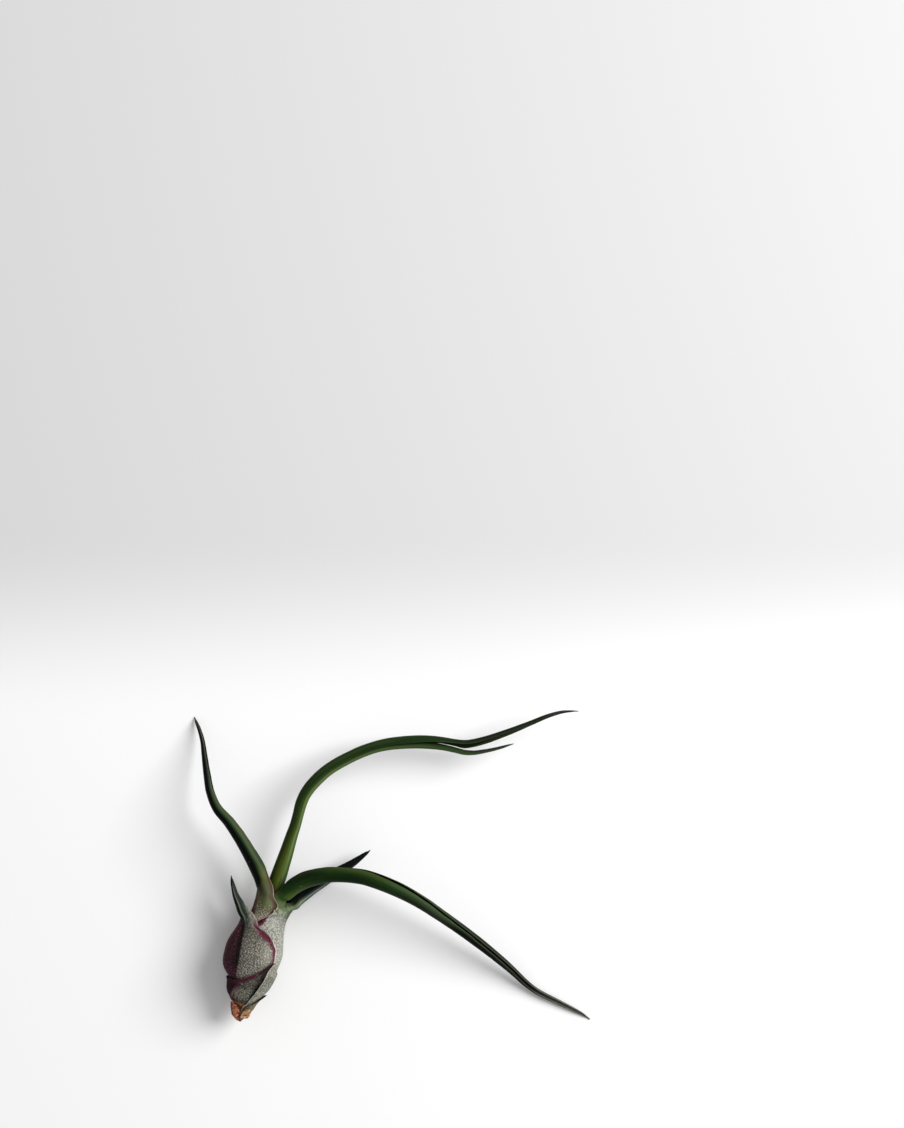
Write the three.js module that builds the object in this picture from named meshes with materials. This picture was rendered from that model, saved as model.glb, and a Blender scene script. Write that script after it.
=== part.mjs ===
// Bulbosa air plant (Tillandsia bulbosa), one small specimen lying on its side.
// Millimetres, +Z up, the plant rests on the plane z = 0.
//
// The plant is a short stem with rosette leaves around it. Every leaf is one
// thin body: its base is a wide cupped sheath that wraps the younger leaves,
// and together the sheaths make the hollow bulb; above the bulb the same leaf
// rolls up into a tapering channel with its slit on the upper (inner) side.
// Papery dried scales close the bulb's foot.
import * as THREE from 'three';

// ---------------------------------------------------------------- dimensions
const LEAF_WALL = 0.42;          // thickness of a fresh leaf in the bulb
const BLADE_WALL_SHARE = 0.6;     // rolled blade: wall as a share of its radius ...
const BLADE_WALL_MAX = 0.52;      // ... and at most this
const MARGIN_THIN = 0.35;         // how much of the wall is lost at the margins

// The bulb's axis: foot of the stem, direction to the neck, and how far the
// axis bows sideways (distance along the axis, offset).
const BULB_FOOT = [-54.31, -55.18, 8.59];
const BULB_DIR = [0.25483, 0.96322, 0.08528];
const BULB_BOW = [[-1.47, -0.22], [0, -0.37], [2.21, -0.63], [4.05, -0.63], [5.88, -0.74], [7.94, -1.1], [9.19, -1.18], [11.4, -0.96], [14.71, -0.96], [18.39, -1.25], [22.07, -1.32], [25.74, -1.25], [29.42, -1.14], [33.1, -0.88], [36.78, -0.51], [40.46, -0.11], [44.13, 0], [58.84, 0]];

// Stem profile: distance along the axis, radius.
const STEM = [[-0.66, 0], [-0.63, 0.33], [-0.44, 0.51], [-0.15, 0.61], [0.37, 1.1], [1.1, 1.47], [2.21, 1.54], [3.31, 1.51], [4.05, 1.32], [5.15, 1.29], [9.56, 1.29], [13.98, 1.29], [15.08, 0.99], [15.81, 0.55], [16.18, 0]];

// Sheath rows, from the insertion on the stem upwards:
//   [distance along axis, radius, first margin angle, last margin angle,
//    tuck of the first margin, tuck of the last margin]
// Angles are degrees round the axis: 0 to the right of the axis, 90 up,
// 180 left, 270 down. A tuck presses that margin towards the axis.
// Blade rows: [x, y, z of the rolled leaf's centre, width,
//    direction of the leaf's back, half-angles of the roll on both sides].
// midrib: [distance along axis, angle] of the leaf's back in the sheath.
const LEAVES = {
  dried_scale_front: {
    color: 0xb5713f, roughness: 0.8, step: [1.6, 3], across: 9,
    sheath: [
      [-0.15, 1.32, 104, 186, 0, 0],
      [0.37, 2.06, 100, 186, 0, 0.15],
      [1.1, 2.87, 98, 186, 0, 0.33],
      [2.21, 3.64, 97, 186, 0, 0.59],
      [3.31, 4.12, 97, 185, 0, 0.66],
      [4.41, 4.6, 98, 180, 0, 0.74],
      [5.52, 5, 102, 171, 0, 0.74],
      [6.44, 5.15, 112, 150, 0, 0.4],
    ],
  },
  dried_scale_right: {
    color: 0xb98a58, roughness: 0.8, step: [1.6, 3], across: 7,
    sheath: [
      [1.84, 3.64, 34, 86, 0, 0],
      [2.94, 4.19, 37, 84, 0, 0],
      [4.05, 4.74, 42, 82, 0, 0],
      [5.15, 5.59, 48, 78, 0, 0],
      [6.25, 6.4, 56, 72, 0, 0],
    ],
  },
  dried_scale_back: {
    color: 0x8a5a38, roughness: 0.85, step: [1.6, 3], across: 9,
    sheath: [
      [-0.07, 1.43, 196, 258, 0, 0],
      [0.55, 2.21, 195, 258, 0, 0],
      [1.47, 3.02, 194, 257, 0, 0],
      [2.94, 3.64, 195, 256, 0, 0],
      [4.05, 3.97, 200, 252, 0, 0],
      [4.97, 4.27, 212, 238, 0, 0],
    ],
  },
  scale_outer_right: {
    color: 0x7d7a5c, roughness: 0.7, step: [1.8, 3], across: 11,
    sheath: [
      [1.29, 2.43, -95, 92, 0, 0],
      [2.21, 2.91, -92, 88, 0, 0],
      [4.05, 3.6, -85, 82, 0, -0.11],
      [5.15, 4.12, -78, 76, 0, -0.44],
      [6.47, 4.71, -70, 70, 0, -0.81],
      [7.94, 5.55, -58, 60, 0, -0.77],
      [8.97, 6.22, -45, 50, 0, -0.7],
      [9.93, 6.8, -25, 32, 0, -0.37],
      [10.67, 7.28, -10, 18, 0, -0.15],
      [11.22, 7.69, -2, 10, 0, 0],
    ],
  },
  sheath_lower_right: {
    color: 0x9ba08f, roughness: 0.65, step: [2.0, 3], across: 15,
    sheath: [
      [2.57, 2.28, -100, 110, 0, 0],
      [4.05, 2.87, -100, 98, 0, 0],
      [5.15, 3.38, -100, 90, 0, -0.37],
      [6.44, 3.9, -100, 82, 0, -0.85],
      [7.72, 4.56, -100, 70, 0, -0.92],
      [9.12, 5.37, -100, 67.5, 0, -0.92],
      [10.3, 6.18, -97, 66, 0, -0.66],
      [11.66, 7.06, -90, 64.5, 0, -0.44],
      [12.87, 7.8, -78, 63, 0, -0.51],
      [14.64, 8.46, -56, 60.8, 0, -0.66],
      [16.55, 9.12, -32, 58.8, 0, -0.96],
      [18.21, 9.6, -12, 57.2, 0, -1.21],
      [20.08, 9.93, 6, 55, 0, -1.29],
      [20.96, 10.08, 15, 53.5, 0, -1.03],
      [22.07, 10.3, 24, 51, 0, -0.51],
      [23.17, 10.41, 31.5, 47, 0, -0.18],
      [24.09, 10.48, 38.5, 42.5, 0, 0],
    ],
  },
  scale_front: {
    color: 0x5d5a4b, roughness: 0.68, step: [2.0, 3], across: 13,
    sheath: [
      [4.05, 2.02, 36, 166, 0, 0],
      [5.15, 2.76, 36, 160, 0.26, -0.18],
      [6.62, 4.05, 38, 152, 0.59, -0.44],
      [7.72, 4.82, 39, 148, 0.59, -0.59],
      [9.19, 5.88, 41, 140, 1.18, -0.7],
      [11.4, 6.99, 50, 130, 0.88, -0.7],
      [13.24, 7.87, 50.5, 121, 0.81, -0.44],
      [14.34, 8.39, 51, 116, 0.88, -0.07],
      [15.81, 9.42, 51.5, 121.5, 1.03, 0],
      [17.29, 10.37, 52, 104, 1.07, 0],
      [18.39, 10.81, 53.2, 95, 1.07, 0],
      [20.08, 11.4, 57.3, 83, 0.29, 0],
      [21.33, 11.59, 56, 75.5, 0.37, 0],
      [22.43, 11.7, 54.5, 67.5, 0.15, 0],
      [23.54, 11.77, 52.5, 61, 0, 0],
      [24.64, 11.81, 50, 55, 0, 0],
      [25.74, 11.77, 46, 47.5, 0, 0],
    ],
  },
  sheath_lower_left: {
    color: 0x4a2730, roughness: 0.6, step: [2.0, 3], across: 13,
    sheath: [
      [5.15, 2.02, 110, 256, 0, 0],
      [5.88, 2.72, 110, 256, 0.29, 0],
      [6.62, 3.53, 110, 256, 0.59, 0],
      [7.72, 4.85, 110, 256, 0.88, 0],
      [9.19, 6.18, 111, 256, 0.96, 0],
      [10.3, 6.88, 112, 256, 0.96, 0],
      [11.4, 7.32, 112, 256, 0.88, 0],
      [12.5, 7.54, 113, 256, 0.66, 0],
      [13.42, 7.76, 115, 256, 0.15, 0],
      [13.98, 7.98, 118, 205, 0, 0],
      [14.53, 8.24, 119.5, 174, 0, 0],
      [15.08, 8.5, 121.5, 153, 0, 0],
      [15.63, 8.86, 124, 140, 0, 0],
      [16.11, 9.19, 126.5, 131, 0, 0],
    ],
    midrib: [[5.15, 183], [12.5, 182], [16.11, 128.5]],
  },
  left_short_leaf: {
    color: 0x6f6f60, roughness: 0.62, step: [2.6, 3.4], across: 17,
    sheath: [
      [6.25, 2.02, 58, 250, 0, 0],
      [6.99, 2.65, 56, 250, 0, 0],
      [8.09, 3.6, 56, 250, 0, 0],
      [9.19, 4.38, 56, 250, 0.11, 0],
      [11.03, 5.59, 57, 249, 0.11, 0],
      [12.5, 6.25, 58, 248, 0.11, 0],
      [13.61, 6.58, 59, 247, 0.11, 0],
      [14.71, 7.02, 60, 246, 0.18, 0],
      [15.81, 8.09, 60, 246, 0.18, 0],
      [16.92, 9.05, 60, 246, 0.29, 0],
      [18.39, 10, 59, 246, 0.51, 0],
      [20.23, 10.59, 58, 246, 0.59, 0],
      [22.07, 10.81, 55, 246, 0.37, 0],
      [23.17, 10.85, 51, 246, 0.26, 0],
      [24.27, 10.89, 45.5, 246, 0.15, 0],
      [25.56, 10.85, 41.3, 246, 0.15, 0],
      [27.22, 10.67, 41, 245, 0.15, 0],
      [29.64, 10.11, 41.5, 242, 0.15, 0],
      [32, 9.45, 50, 236, 0.11, 0],
      [33.84, 9.01, 62, 230, 0.07, 0],
      [35.67, 8.9, 80, 222, 0.48, 0],
      [36.96, 9.05, 101, 214, 0.81, 0],
    ],
    midrib: [[6.25, 124], [22.07, 124], [27.58, 133], [31.26, 141], [34.94, 154], [37.15, 157]],
    blade: [
      [-52.81, -14.56, 14.54, 4.51, 150, 120, 120],
      [-54.43, -11.53, 15.14, 3.15, 150, 140, 140],
      [-55.6, -8.92, 15.34, 2.29, 148, 145, 145],
      [-56.41, -5.83, 15.44, 1.65, 146, 150, 150],
      [-56.91, -3.69, 15.44, 0.97, 146, 150, 150],
      [-57.13, -2.13, 15.34, 0.32, 146, 150, 150],
    ],
  },
  right_short_leaf: {
    color: 0x8a9080, roughness: 0.6, step: [3.6, 5.5], across: 17,
    sheath: [
      [7.54, 2.02, -150, 130, 0, 0],
      [8.46, 2.68, -148, 132, 0, 0],
      [9.56, 3.49, -147, 134, 0, 0],
      [11.03, 4.45, -146, 136, 0, 0],
      [12.5, 5.22, -145, 138, 0, 0],
      [14.71, 6.22, -144, 140, 0, 0],
      [15.81, 7.25, -143, 141, 0, 0],
      [16.92, 8.09, -143, 142, 0, 0],
      [18.39, 8.79, -142, 142, 0, 0],
      [20.23, 9.27, -141, 142, 0, 0],
      [22.07, 9.6, -140, 142, 0, 0],
      [24.27, 9.86, -138, 142, 0, 0],
      [26.48, 9.89, -136, 141, 0, 0],
      [29.42, 9.27, -132, 139, 0, 0],
      [32.36, 8.46, -127, 134, 0, 0],
      [34.57, 7.94, -122, 133, 0, 0],
      [36.78, 7.47, -116, 127, 0, 0.15],
      [38.98, 7.17, -109, 111, 0, 0.18],
      [41.19, 7.43, -100, 91, 0, 0.48],
      [43.03, 7.94, -90, 75, 0, 0.55],
    ],
    midrib: [[6.99, -15], [22.07, -18], [36.78, -22], [43.03, -27]],
    blade: [
      [-35.93, -13.22, 9.34, 5.26, -16, 122, 122],
      [-33.19, -10.7, 8.84, 5.27, 16, 146, 146],
      [-29.98, -8.43, 8.34, 4.91, 23.5, 148.5, 148.5],
      [-25.7, -5.76, 7.34, 4.41, 21, 143, 143],
      [-19.79, -2.1, 6.34, 3.69, 22, 144, 144],
      [-14, 1.13, 5.64, 2.72, 21.5, 146.5, 146.5],
      [-11.01, 3.25, 5.24, 1.85, 21, 149, 149],
      [-9.06, 4.67, 5.04, 1.16, 20, 150, 150],
      [-7.8, 5.66, 4.84, 0.33, 20, 150, 150],
    ],
  },
  left_long_leaf: {
    color: 0x2e4a30, roughness: 0.5, step: [3.6, 5.2], across: 15,
    sheath: [
      [8.83, 2.21, 10, 290, 0, 0],
      [10.3, 2.91, 10, 290, 0, 0],
      [11.77, 3.75, 10, 290, 0, 0],
      [13.98, 4.93, 10, 290, 0, 0],
      [16.18, 6.18, 12, 288, 0, 0],
      [18.39, 7.32, 14, 286, 0, 0],
      [20.6, 8.24, 16, 284, 0, 0],
      [22.8, 8.86, 18, 282, 0, 0],
      [25.74, 9.16, 20, 280, 0, 0],
      [28.69, 8.75, 22, 278, 0, 0],
      [31.63, 7.98, 24, 276, 0, 0],
      [34.57, 7.17, 28, 272, 0, 0],
      [36.78, 6.58, 32, 268, 0, 0],
      [38.98, 6.33, 37, 264, 0, 0],
      [41.19, 6.18, 56, 260, 0.37, 0],
      [43.4, 6.18, 66, 256, 0.18, 0],
      [44.87, 6.11, 62, 252, 0.04, 0],
      [46.34, 6.18, 69, 248, 0.11, 0],
      [48.18, 6.36, 85, 246, 0.26, 0],
    ],
    midrib: [[8.83, 150], [48.18, 152]],
    blade: [
      [-45.57, -3.81, 15.84, 6.22, 148, 114, 114],
      [-48.25, 1.77, 15.84, 5.65, 153, 146, 134],
      [-51.23, 7.14, 16.14, 5, 155, 150, 150],
      [-54.39, 12.46, 16.74, 4.64, 157, 150, 150],
      [-57.94, 17.45, 16.94, 4.11, 160, 150, 150],
      [-61.94, 22.05, 16.54, 3.75, 168, 150, 150],
      [-64.58, 27.45, 14.94, 3.19, 180, 148, 148],
      [-66, 33.23, 12.54, 2.73, 190, 146, 146],
      [-67.25, 39.05, 9.34, 2.27, 196, 146, 146],
      [-68.46, 44.89, 5.74, 1.7, 200, 146, 146],
      [-70.17, 49.59, 2.84, 1.42, 202, 150, 150],
      [-71.29, 51.81, 1.34, 1.02, 202, 150, 150],
      [-72.04, 53.48, 0.16, 0.36, 202, 150, 150],
    ],
  },
  right_long_leaf: {
    color: 0x2c4a2b, roughness: 0.5, step: [3.6, 5.6], across: 15,
    sheath: [
      [10.67, 2.28, -170, 150, 0, 0],
      [12.14, 3.05, -170, 150, 0, 0],
      [13.98, 4.05, -170, 150, 0, 0],
      [16.18, 5.3, -170, 150, 0, 0],
      [18.39, 6.4, -170, 150, 0, 0],
      [21.33, 7.54, -169, 149, 0, 0],
      [24.27, 8.2, -168, 148, 0, 0],
      [26.85, 8.2, -167, 147, 0, 0],
      [29.42, 7.69, -166, 146, 0, 0],
      [32.36, 6.88, -165, 145, 0, 0],
      [35.31, 6.11, -163, 143, 0, 0],
      [38.25, 5.52, -160, 148, 0, 0],
      [41.19, 5.11, -155, 147, 0, 0],
      [44.13, 5.04, -125, 136, 0, 0],
      [46.71, 5, -92, 106, 0, 0],
    ],
    midrib: [[10.67, -10], [46.71, -10]],
    blade: [
      [-38.15, -7.29, 15.24, 8.01, 21, 83, 83],
      [-34.52, -5.13, 16.84, 6.78, 34, 106, 106],
      [-30.27, -3.08, 17.44, 6.42, 35.5, 121.5, 121.5],
      [-26.04, -1.91, 17.84, 6.13, 28, 132, 132],
      [-21.49, -1.23, 18.14, 5.88, 18.5, 140.5, 140.5],
      [-15.95, -1.31, 18.54, 5.7, 8.5, 148.5, 148.5],
      [-10.42, -2, 18.74, 5.59, -1.5, 153.5, 153.5],
      [-4.83, -3.69, 18.64, 5.52, -13, 158, 158],
      [3.24, -7.15, 17.84, 5.35, -28, 162, 162],
      [10.92, -11.62, 16.14, 4.86, -41, 165, 165],
      [18.23, -16.94, 13.74, 4.41, -53, 167, 167],
      [25.48, -22.43, 11.14, 4.06, -62, 168, 168],
      [32.57, -28.24, 8.54, 3.82, -68, 167, 167],
      [39.56, -34.29, 5.84, 3.33, -72, 164, 164],
      [44.09, -38.51, 4.14, 2.94, -76, 160, 160],
      [48.5, -42.88, 2.54, 2.54, -80, 154, 154],
      [52.02, -45.74, 1.69, 2.33, -83, 148, 148],
      [56.04, -48.06, 1.34, 2.26, -85, 142, 142],
      [61.34, -50.63, 1.04, 1.97, -87, 136, 136],
      [66.52, -53.23, 0.79, 1.49, -88, 132, 132],
      [69.56, -54.89, 0.54, 1.06, -90, 130, 130],
      [72.1, -56.67, 0.22, 0.4, -90, 130, 130],
    ],
  },
  centre_leaf_outer: {
    color: 0x35542f, roughness: 0.5, step: [4.2, 6.5], across: 13,
    sheath: [
      [12.5, 2.21, 20, 300, 0, 0],
      [13.98, 3.02, 20, 300, 0, 0],
      [16.18, 4.27, 20, 300, 0, 0],
      [18.39, 5.44, 22, 298, 0, 0],
      [21.33, 6.62, 24, 296, 0, 0],
      [24.27, 7.28, 26, 294, 0, 0],
      [27.22, 7.17, 28, 292, 0, 0],
      [30.16, 6.51, 30, 290, 0, 0],
      [33.1, 5.7, 32, 290, 0, 0],
      [36.04, 5.04, 34, 290, 0, 0],
      [38.98, 4.63, 36, 290, 0, 0],
      [41.93, 4.38, 38, 290, 0, 0],
      [44.87, 3.82, 42, 290, 0, 0],
      [47.81, 3.35, 46, 288, 0, 0],
    ],
    midrib: [[12.5, 160], [47.81, 158]],
    blade: [
      [-41.12, -4.27, 13.34, 5.52, 178, 112, 112],
      [-40.02, -1.08, 13.64, 5.31, 178.3, 111.7, 111.7],
      [-38.89, 2.33, 13.94, 4.98, 178.6, 111.4, 111.4],
      [-37.76, 5.76, 14.14, 4.66, 178.9, 111.1, 111.1],
      [-36.64, 9.27, 14.34, 4.26, 179.1, 110.9, 110.9],
      [-35.52, 12.79, 14.44, 3.9, 179.3, 110.7, 110.7],
      [-34.38, 16.19, 14.44, 3.65, 179.5, 110.5, 110.5],
      [-33.45, 19.62, 14.34, 3.65, 179.7, 110.3, 110.3],
      [-32.56, 23.12, 14.24, 3.76, 179.9, 110.1, 110.1],
      [-31.21, 26.43, 14.09, 3.91, 180.3, 109.7, 109.7],
      [-29.25, 29.43, 13.94, 4.01, 181, 109, 109],
      [-26.79, 32.17, 13.74, 4.05, 181.5, 108.5, 108.5],
      [-24.12, 34.62, 13.49, 4.05, 182, 108, 108],
      [-21.23, 36.71, 13.24, 4.02, 182.5, 107.5, 107.5],
      [-18.12, 38.52, 13.04, 3.98, 182.9, 107.1, 107.1],
      [-14.97, 40.12, 12.84, 3.95, 183.3, 106.7, 106.7],
      [-11.78, 41.64, 12.64, 3.95, 183.8, 106.2, 106.2],
      [-8.45, 42.96, 12.49, 3.91, 184.2, 105.8, 105.8],
      [-4.94, 44.02, 12.34, 3.95, 184.5, 105.5, 105.5],
      [-1.39, 44.76, 12.19, 4.02, 184.7, 105.3, 105.3],
      [2.24, 45.21, 11.99, 4.17, 184.9, 105.1, 105.1],
      [5.86, 45.49, 11.84, 4.35, 185, 105, 105],
      [13.19, 45.68, 11.54, 4.1, 188, 100, 100],
      [18.58, 45.27, 11.29, 3.7, 195, 95, 95],
      [22.89, 44.75, 11.14, 3.31, 206, 102, 102],
      [26.89, 44.57, 11.09, 3.06, 231, 131, 131],
      [29.91, 45.03, 11.09, 2.95, 246, 149, 149],
      [32.75, 45.75, 11.09, 2.84, 254.5, 160.5, 160.5],
      [41.27, 48.64, 11.24, 2.41, 259, 167, 167],
      [49.64, 51.97, 11.54, 1.87, 258, 166, 166],
      [58, 55.3, 11.84, 1.44, 257, 163, 163],
      [61.41, 56.17, 11.94, 1.15, 256, 160, 160],
      [64.57, 56.46, 11.94, 0.75, 254, 156, 156],
      [67.23, 56.46, 11.94, 0.29, 254, 156, 156],
    ],
  },
  centre_leaf_inner: {
    color: 0x2a452c, roughness: 0.5, step: [3.8, 5.6], across: 11,
    sheath: [
      [13.98, 2.06, -165, 145, 0, 0],
      [15.81, 3.09, -165, 145, 0, 0],
      [18.39, 4.49, -165, 145, 0, 0],
      [21.33, 5.66, -164, 144, 0, 0],
      [24.27, 6.36, -163, 143, 0, 0],
      [27.22, 6.25, -162, 142, 0, 0],
      [30.16, 5.55, -162, 142, 0, 0],
      [33.1, 4.74, -162, 142, 0, 0],
      [36.04, 4.12, -162, 142, 0, 0],
      [38.98, 3.71, -162, 142, 0, 0],
      [41.93, 3.46, -162, 142, 0, 0],
      [44.87, 2.94, -162, 142, 0, 0],
      [47.81, 2.57, -162, 142, 0, 0],
    ],
    midrib: [[13.98, -10], [47.81, -10]],
    blade: [
      [-39.77, -4.76, 13.24, 3.34, -12, 150, 150],
      [-38.71, -1.56, 13.54, 3.23, -12, 150, 150],
      [-37.64, 1.89, 13.84, 3.05, -12, 150, 150],
      [-36.55, 5.36, 14.04, 2.87, -12, 150, 150],
      [-35.54, 8.89, 14.24, 2.65, -12, 150, 150],
      [-34.49, 12.42, 14.34, 2.44, -12, 150, 150],
      [-33.38, 15.89, 14.34, 2.29, -12, 150, 150],
      [-32.46, 19.35, 14.24, 2.29, -12, 150, 150],
      [-31.53, 22.75, 14.14, 2.36, -12, 150, 150],
      [-30.25, 25.92, 13.99, 2.44, -12, 150, 150],
      [-28.36, 28.73, 13.84, 2.51, -12, 150, 150],
      [-25.97, 31.33, 13.64, 2.51, -12, 150, 150],
      [-23.41, 33.75, 13.39, 2.51, -12, 150, 150],
      [-20.62, 35.77, 13.14, 2.51, -12, 150, 150],
      [-17.58, 37.54, 12.94, 2.48, -12, 150, 150],
      [-14.51, 39.14, 12.74, 2.44, -12, 150, 150],
      [-11.36, 40.59, 12.54, 2.44, -12, 150, 150],
      [-8.06, 41.91, 12.39, 2.44, -12, 150, 150],
      [-4.69, 42.94, 12.24, 2.44, -12, 150, 150],
      [-1.21, 43.63, 11.94, 2.51, -12, 150, 150],
      [2.37, 44.04, 11.74, 2.59, -12, 150, 150],
      [5.93, 44.28, 11.59, 2.7, -12, 150, 150],
      [13.18, 44.1, 11.14, 2.52, -14, 150, 150],
      [18.58, 43.39, 10.84, 2.3, -14, 150, 150],
      [22.9, 42.41, 10.64, 2.09, -14, 150, 150],
      [26.49, 41.53, 10.49, 1.94, -14, 150, 150],
      [29.81, 41.41, 10.34, 1.66, -14, 150, 150],
      [33.44, 41.94, 10.24, 1.44, -14, 150, 150],
      [36.98, 42.65, 10.14, 1.26, -14, 150, 150],
      [40.51, 43.58, 10.04, 0.97, -14, 150, 150],
      [42.56, 44.19, 9.99, 0.61, -14, 150, 150],
      [44.07, 44.62, 9.94, 0.25, -14, 150, 150],
    ],
  },
};

// ------------------------------------------------------------------- helpers
const V = (x, y, z) => new THREE.Vector3(x, y, z);
const A = V(...BULB_DIR).normalize();
const E1 = V(A.y, -A.x, 0).normalize();          // right of the axis
const E2 = new THREE.Vector3().crossVectors(E1, A); // up
const rad = THREE.MathUtils.degToRad;

function lerpTable(t, x, c = 1) {
  if (x <= t[0][0]) return t[0][c];
  for (let i = 1; i < t.length; i++) {
    if (x <= t[i][0]) {
      const s = (x - t[i - 1][0]) / (t[i][0] - t[i - 1][0]);
      return t[i - 1][c] * (1 - s) + t[i][c] * s;
    }
  }
  return t[t.length - 1][c];
}

const axisPoint = (u) => V(...BULB_FOOT).addScaledVector(A, u).addScaledVector(E1, lerpTable(BULB_BOW, u));

// Direction square to a leaf's run T at an angle: 0 level to the right, 90 up.
function aroundRun(T, deg) {
  const R = new THREE.Vector3().crossVectors(T, V(0, 0, 1)).normalize();
  const U = new THREE.Vector3().crossVectors(R, T).normalize();
  return R.multiplyScalar(Math.cos(rad(deg))).addScaledVector(U, Math.sin(rad(deg)));
}

// Stations along the midrib: point, run, back direction, and the numbers
// [curvature, ribbon half widths, tucks, wall].
function stationsOf(leaf) {
  const out = [];
  for (const [u, r, lo, hi, tuckLo, tuckHi] of leaf.sheath) {
    const mid = leaf.midrib ? lerpTable(leaf.midrib, u) : (lo + hi) / 2;
    const M = E1.clone().multiplyScalar(Math.cos(rad(mid))).addScaledVector(E2, Math.sin(rad(mid)));
    out.push({
      P: axisPoint(u).addScaledVector(M, r), T: A.clone(), M,
      q: [1 / r, r * rad(mid - lo), r * rad(hi - mid), tuckLo, tuckHi, LEAF_WALL],
    });
  }
  if (leaf.blade) {
    const C = leaf.blade.map((b) => V(b[0], b[1], b[2]));
    leaf.blade.forEach((b, i) => {
      const T = C[Math.min(i + 1, C.length - 1)].clone().sub(C[i === 0 ? 0 : i - 1]).normalize();
      const r = b[3] / 2, M = aroundRun(T, b[4]);
      out.push({
        P: C[i].clone().addScaledVector(M, r), T, M,
        q: [1 / r, r * rad(b[5]), r * rad(b[6]), 0, 0, Math.min(BLADE_WALL_MAX, BLADE_WALL_SHARE * r)],
      });
    });
  } else {
    out[out.length - 1].q[5] *= 0.6;
    out[out.length - 2].q[5] *= 0.8;
  }
  return out;
}

// Slopes for a smooth curve through points (free) or through a profile that
// must not overshoot (monotone).
function freeSlopes(x, y) {
  const n = x.length, m = new Array(n);
  for (let i = 0; i < n; i++) {
    if (i === 0) m[i] = (y[1] - y[0]) / (x[1] - x[0]);
    else if (i === n - 1) m[i] = (y[n - 1] - y[n - 2]) / (x[n - 1] - x[n - 2]);
    else {
      const h0 = x[i] - x[i - 1], h1 = x[i + 1] - x[i];
      m[i] = ((y[i] - y[i - 1]) / h0 * h1 + (y[i + 1] - y[i]) / h1 * h0) / (h0 + h1);
    }
  }
  return m;
}
function monotoneSlopes(x, y) {
  const n = x.length, m = new Array(n).fill(0);
  for (let i = 1; i < n - 1; i++) {
    const h0 = x[i] - x[i - 1], h1 = x[i + 1] - x[i];
    const d0 = (y[i] - y[i - 1]) / h0, d1 = (y[i + 1] - y[i]) / h1;
    if (d0 * d1 > 0) {
      const w1 = 2 * h1 + h0, w2 = h1 + 2 * h0;
      m[i] = (w1 + w2) / (w1 / d0 + w2 / d1);
    }
  }
  m[0] = (y[1] - y[0]) / (x[1] - x[0]);
  m[n - 1] = (y[n - 1] - y[n - 2]) / (x[n - 1] - x[n - 2]);
  return m;
}
function hermite(x, y, m, xq) {
  let k = 0;
  while (k < x.length - 2 && xq > x[k + 1]) k++;
  const h = x[k + 1] - x[k], s = (xq - x[k]) / h;
  return (2 * s ** 3 - 3 * s ** 2 + 1) * y[k] + (s ** 3 - 2 * s ** 2 + s) * h * m[k]
    + (3 * s ** 2 - 2 * s ** 3) * y[k + 1] + (s ** 3 - s ** 2) * h * m[k + 1];
}
const easeIn = (w) => { const x = Math.min(Math.max((w - 0.25) / 0.75, 0), 1); return x * x * (3 - 2 * x); };

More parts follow.
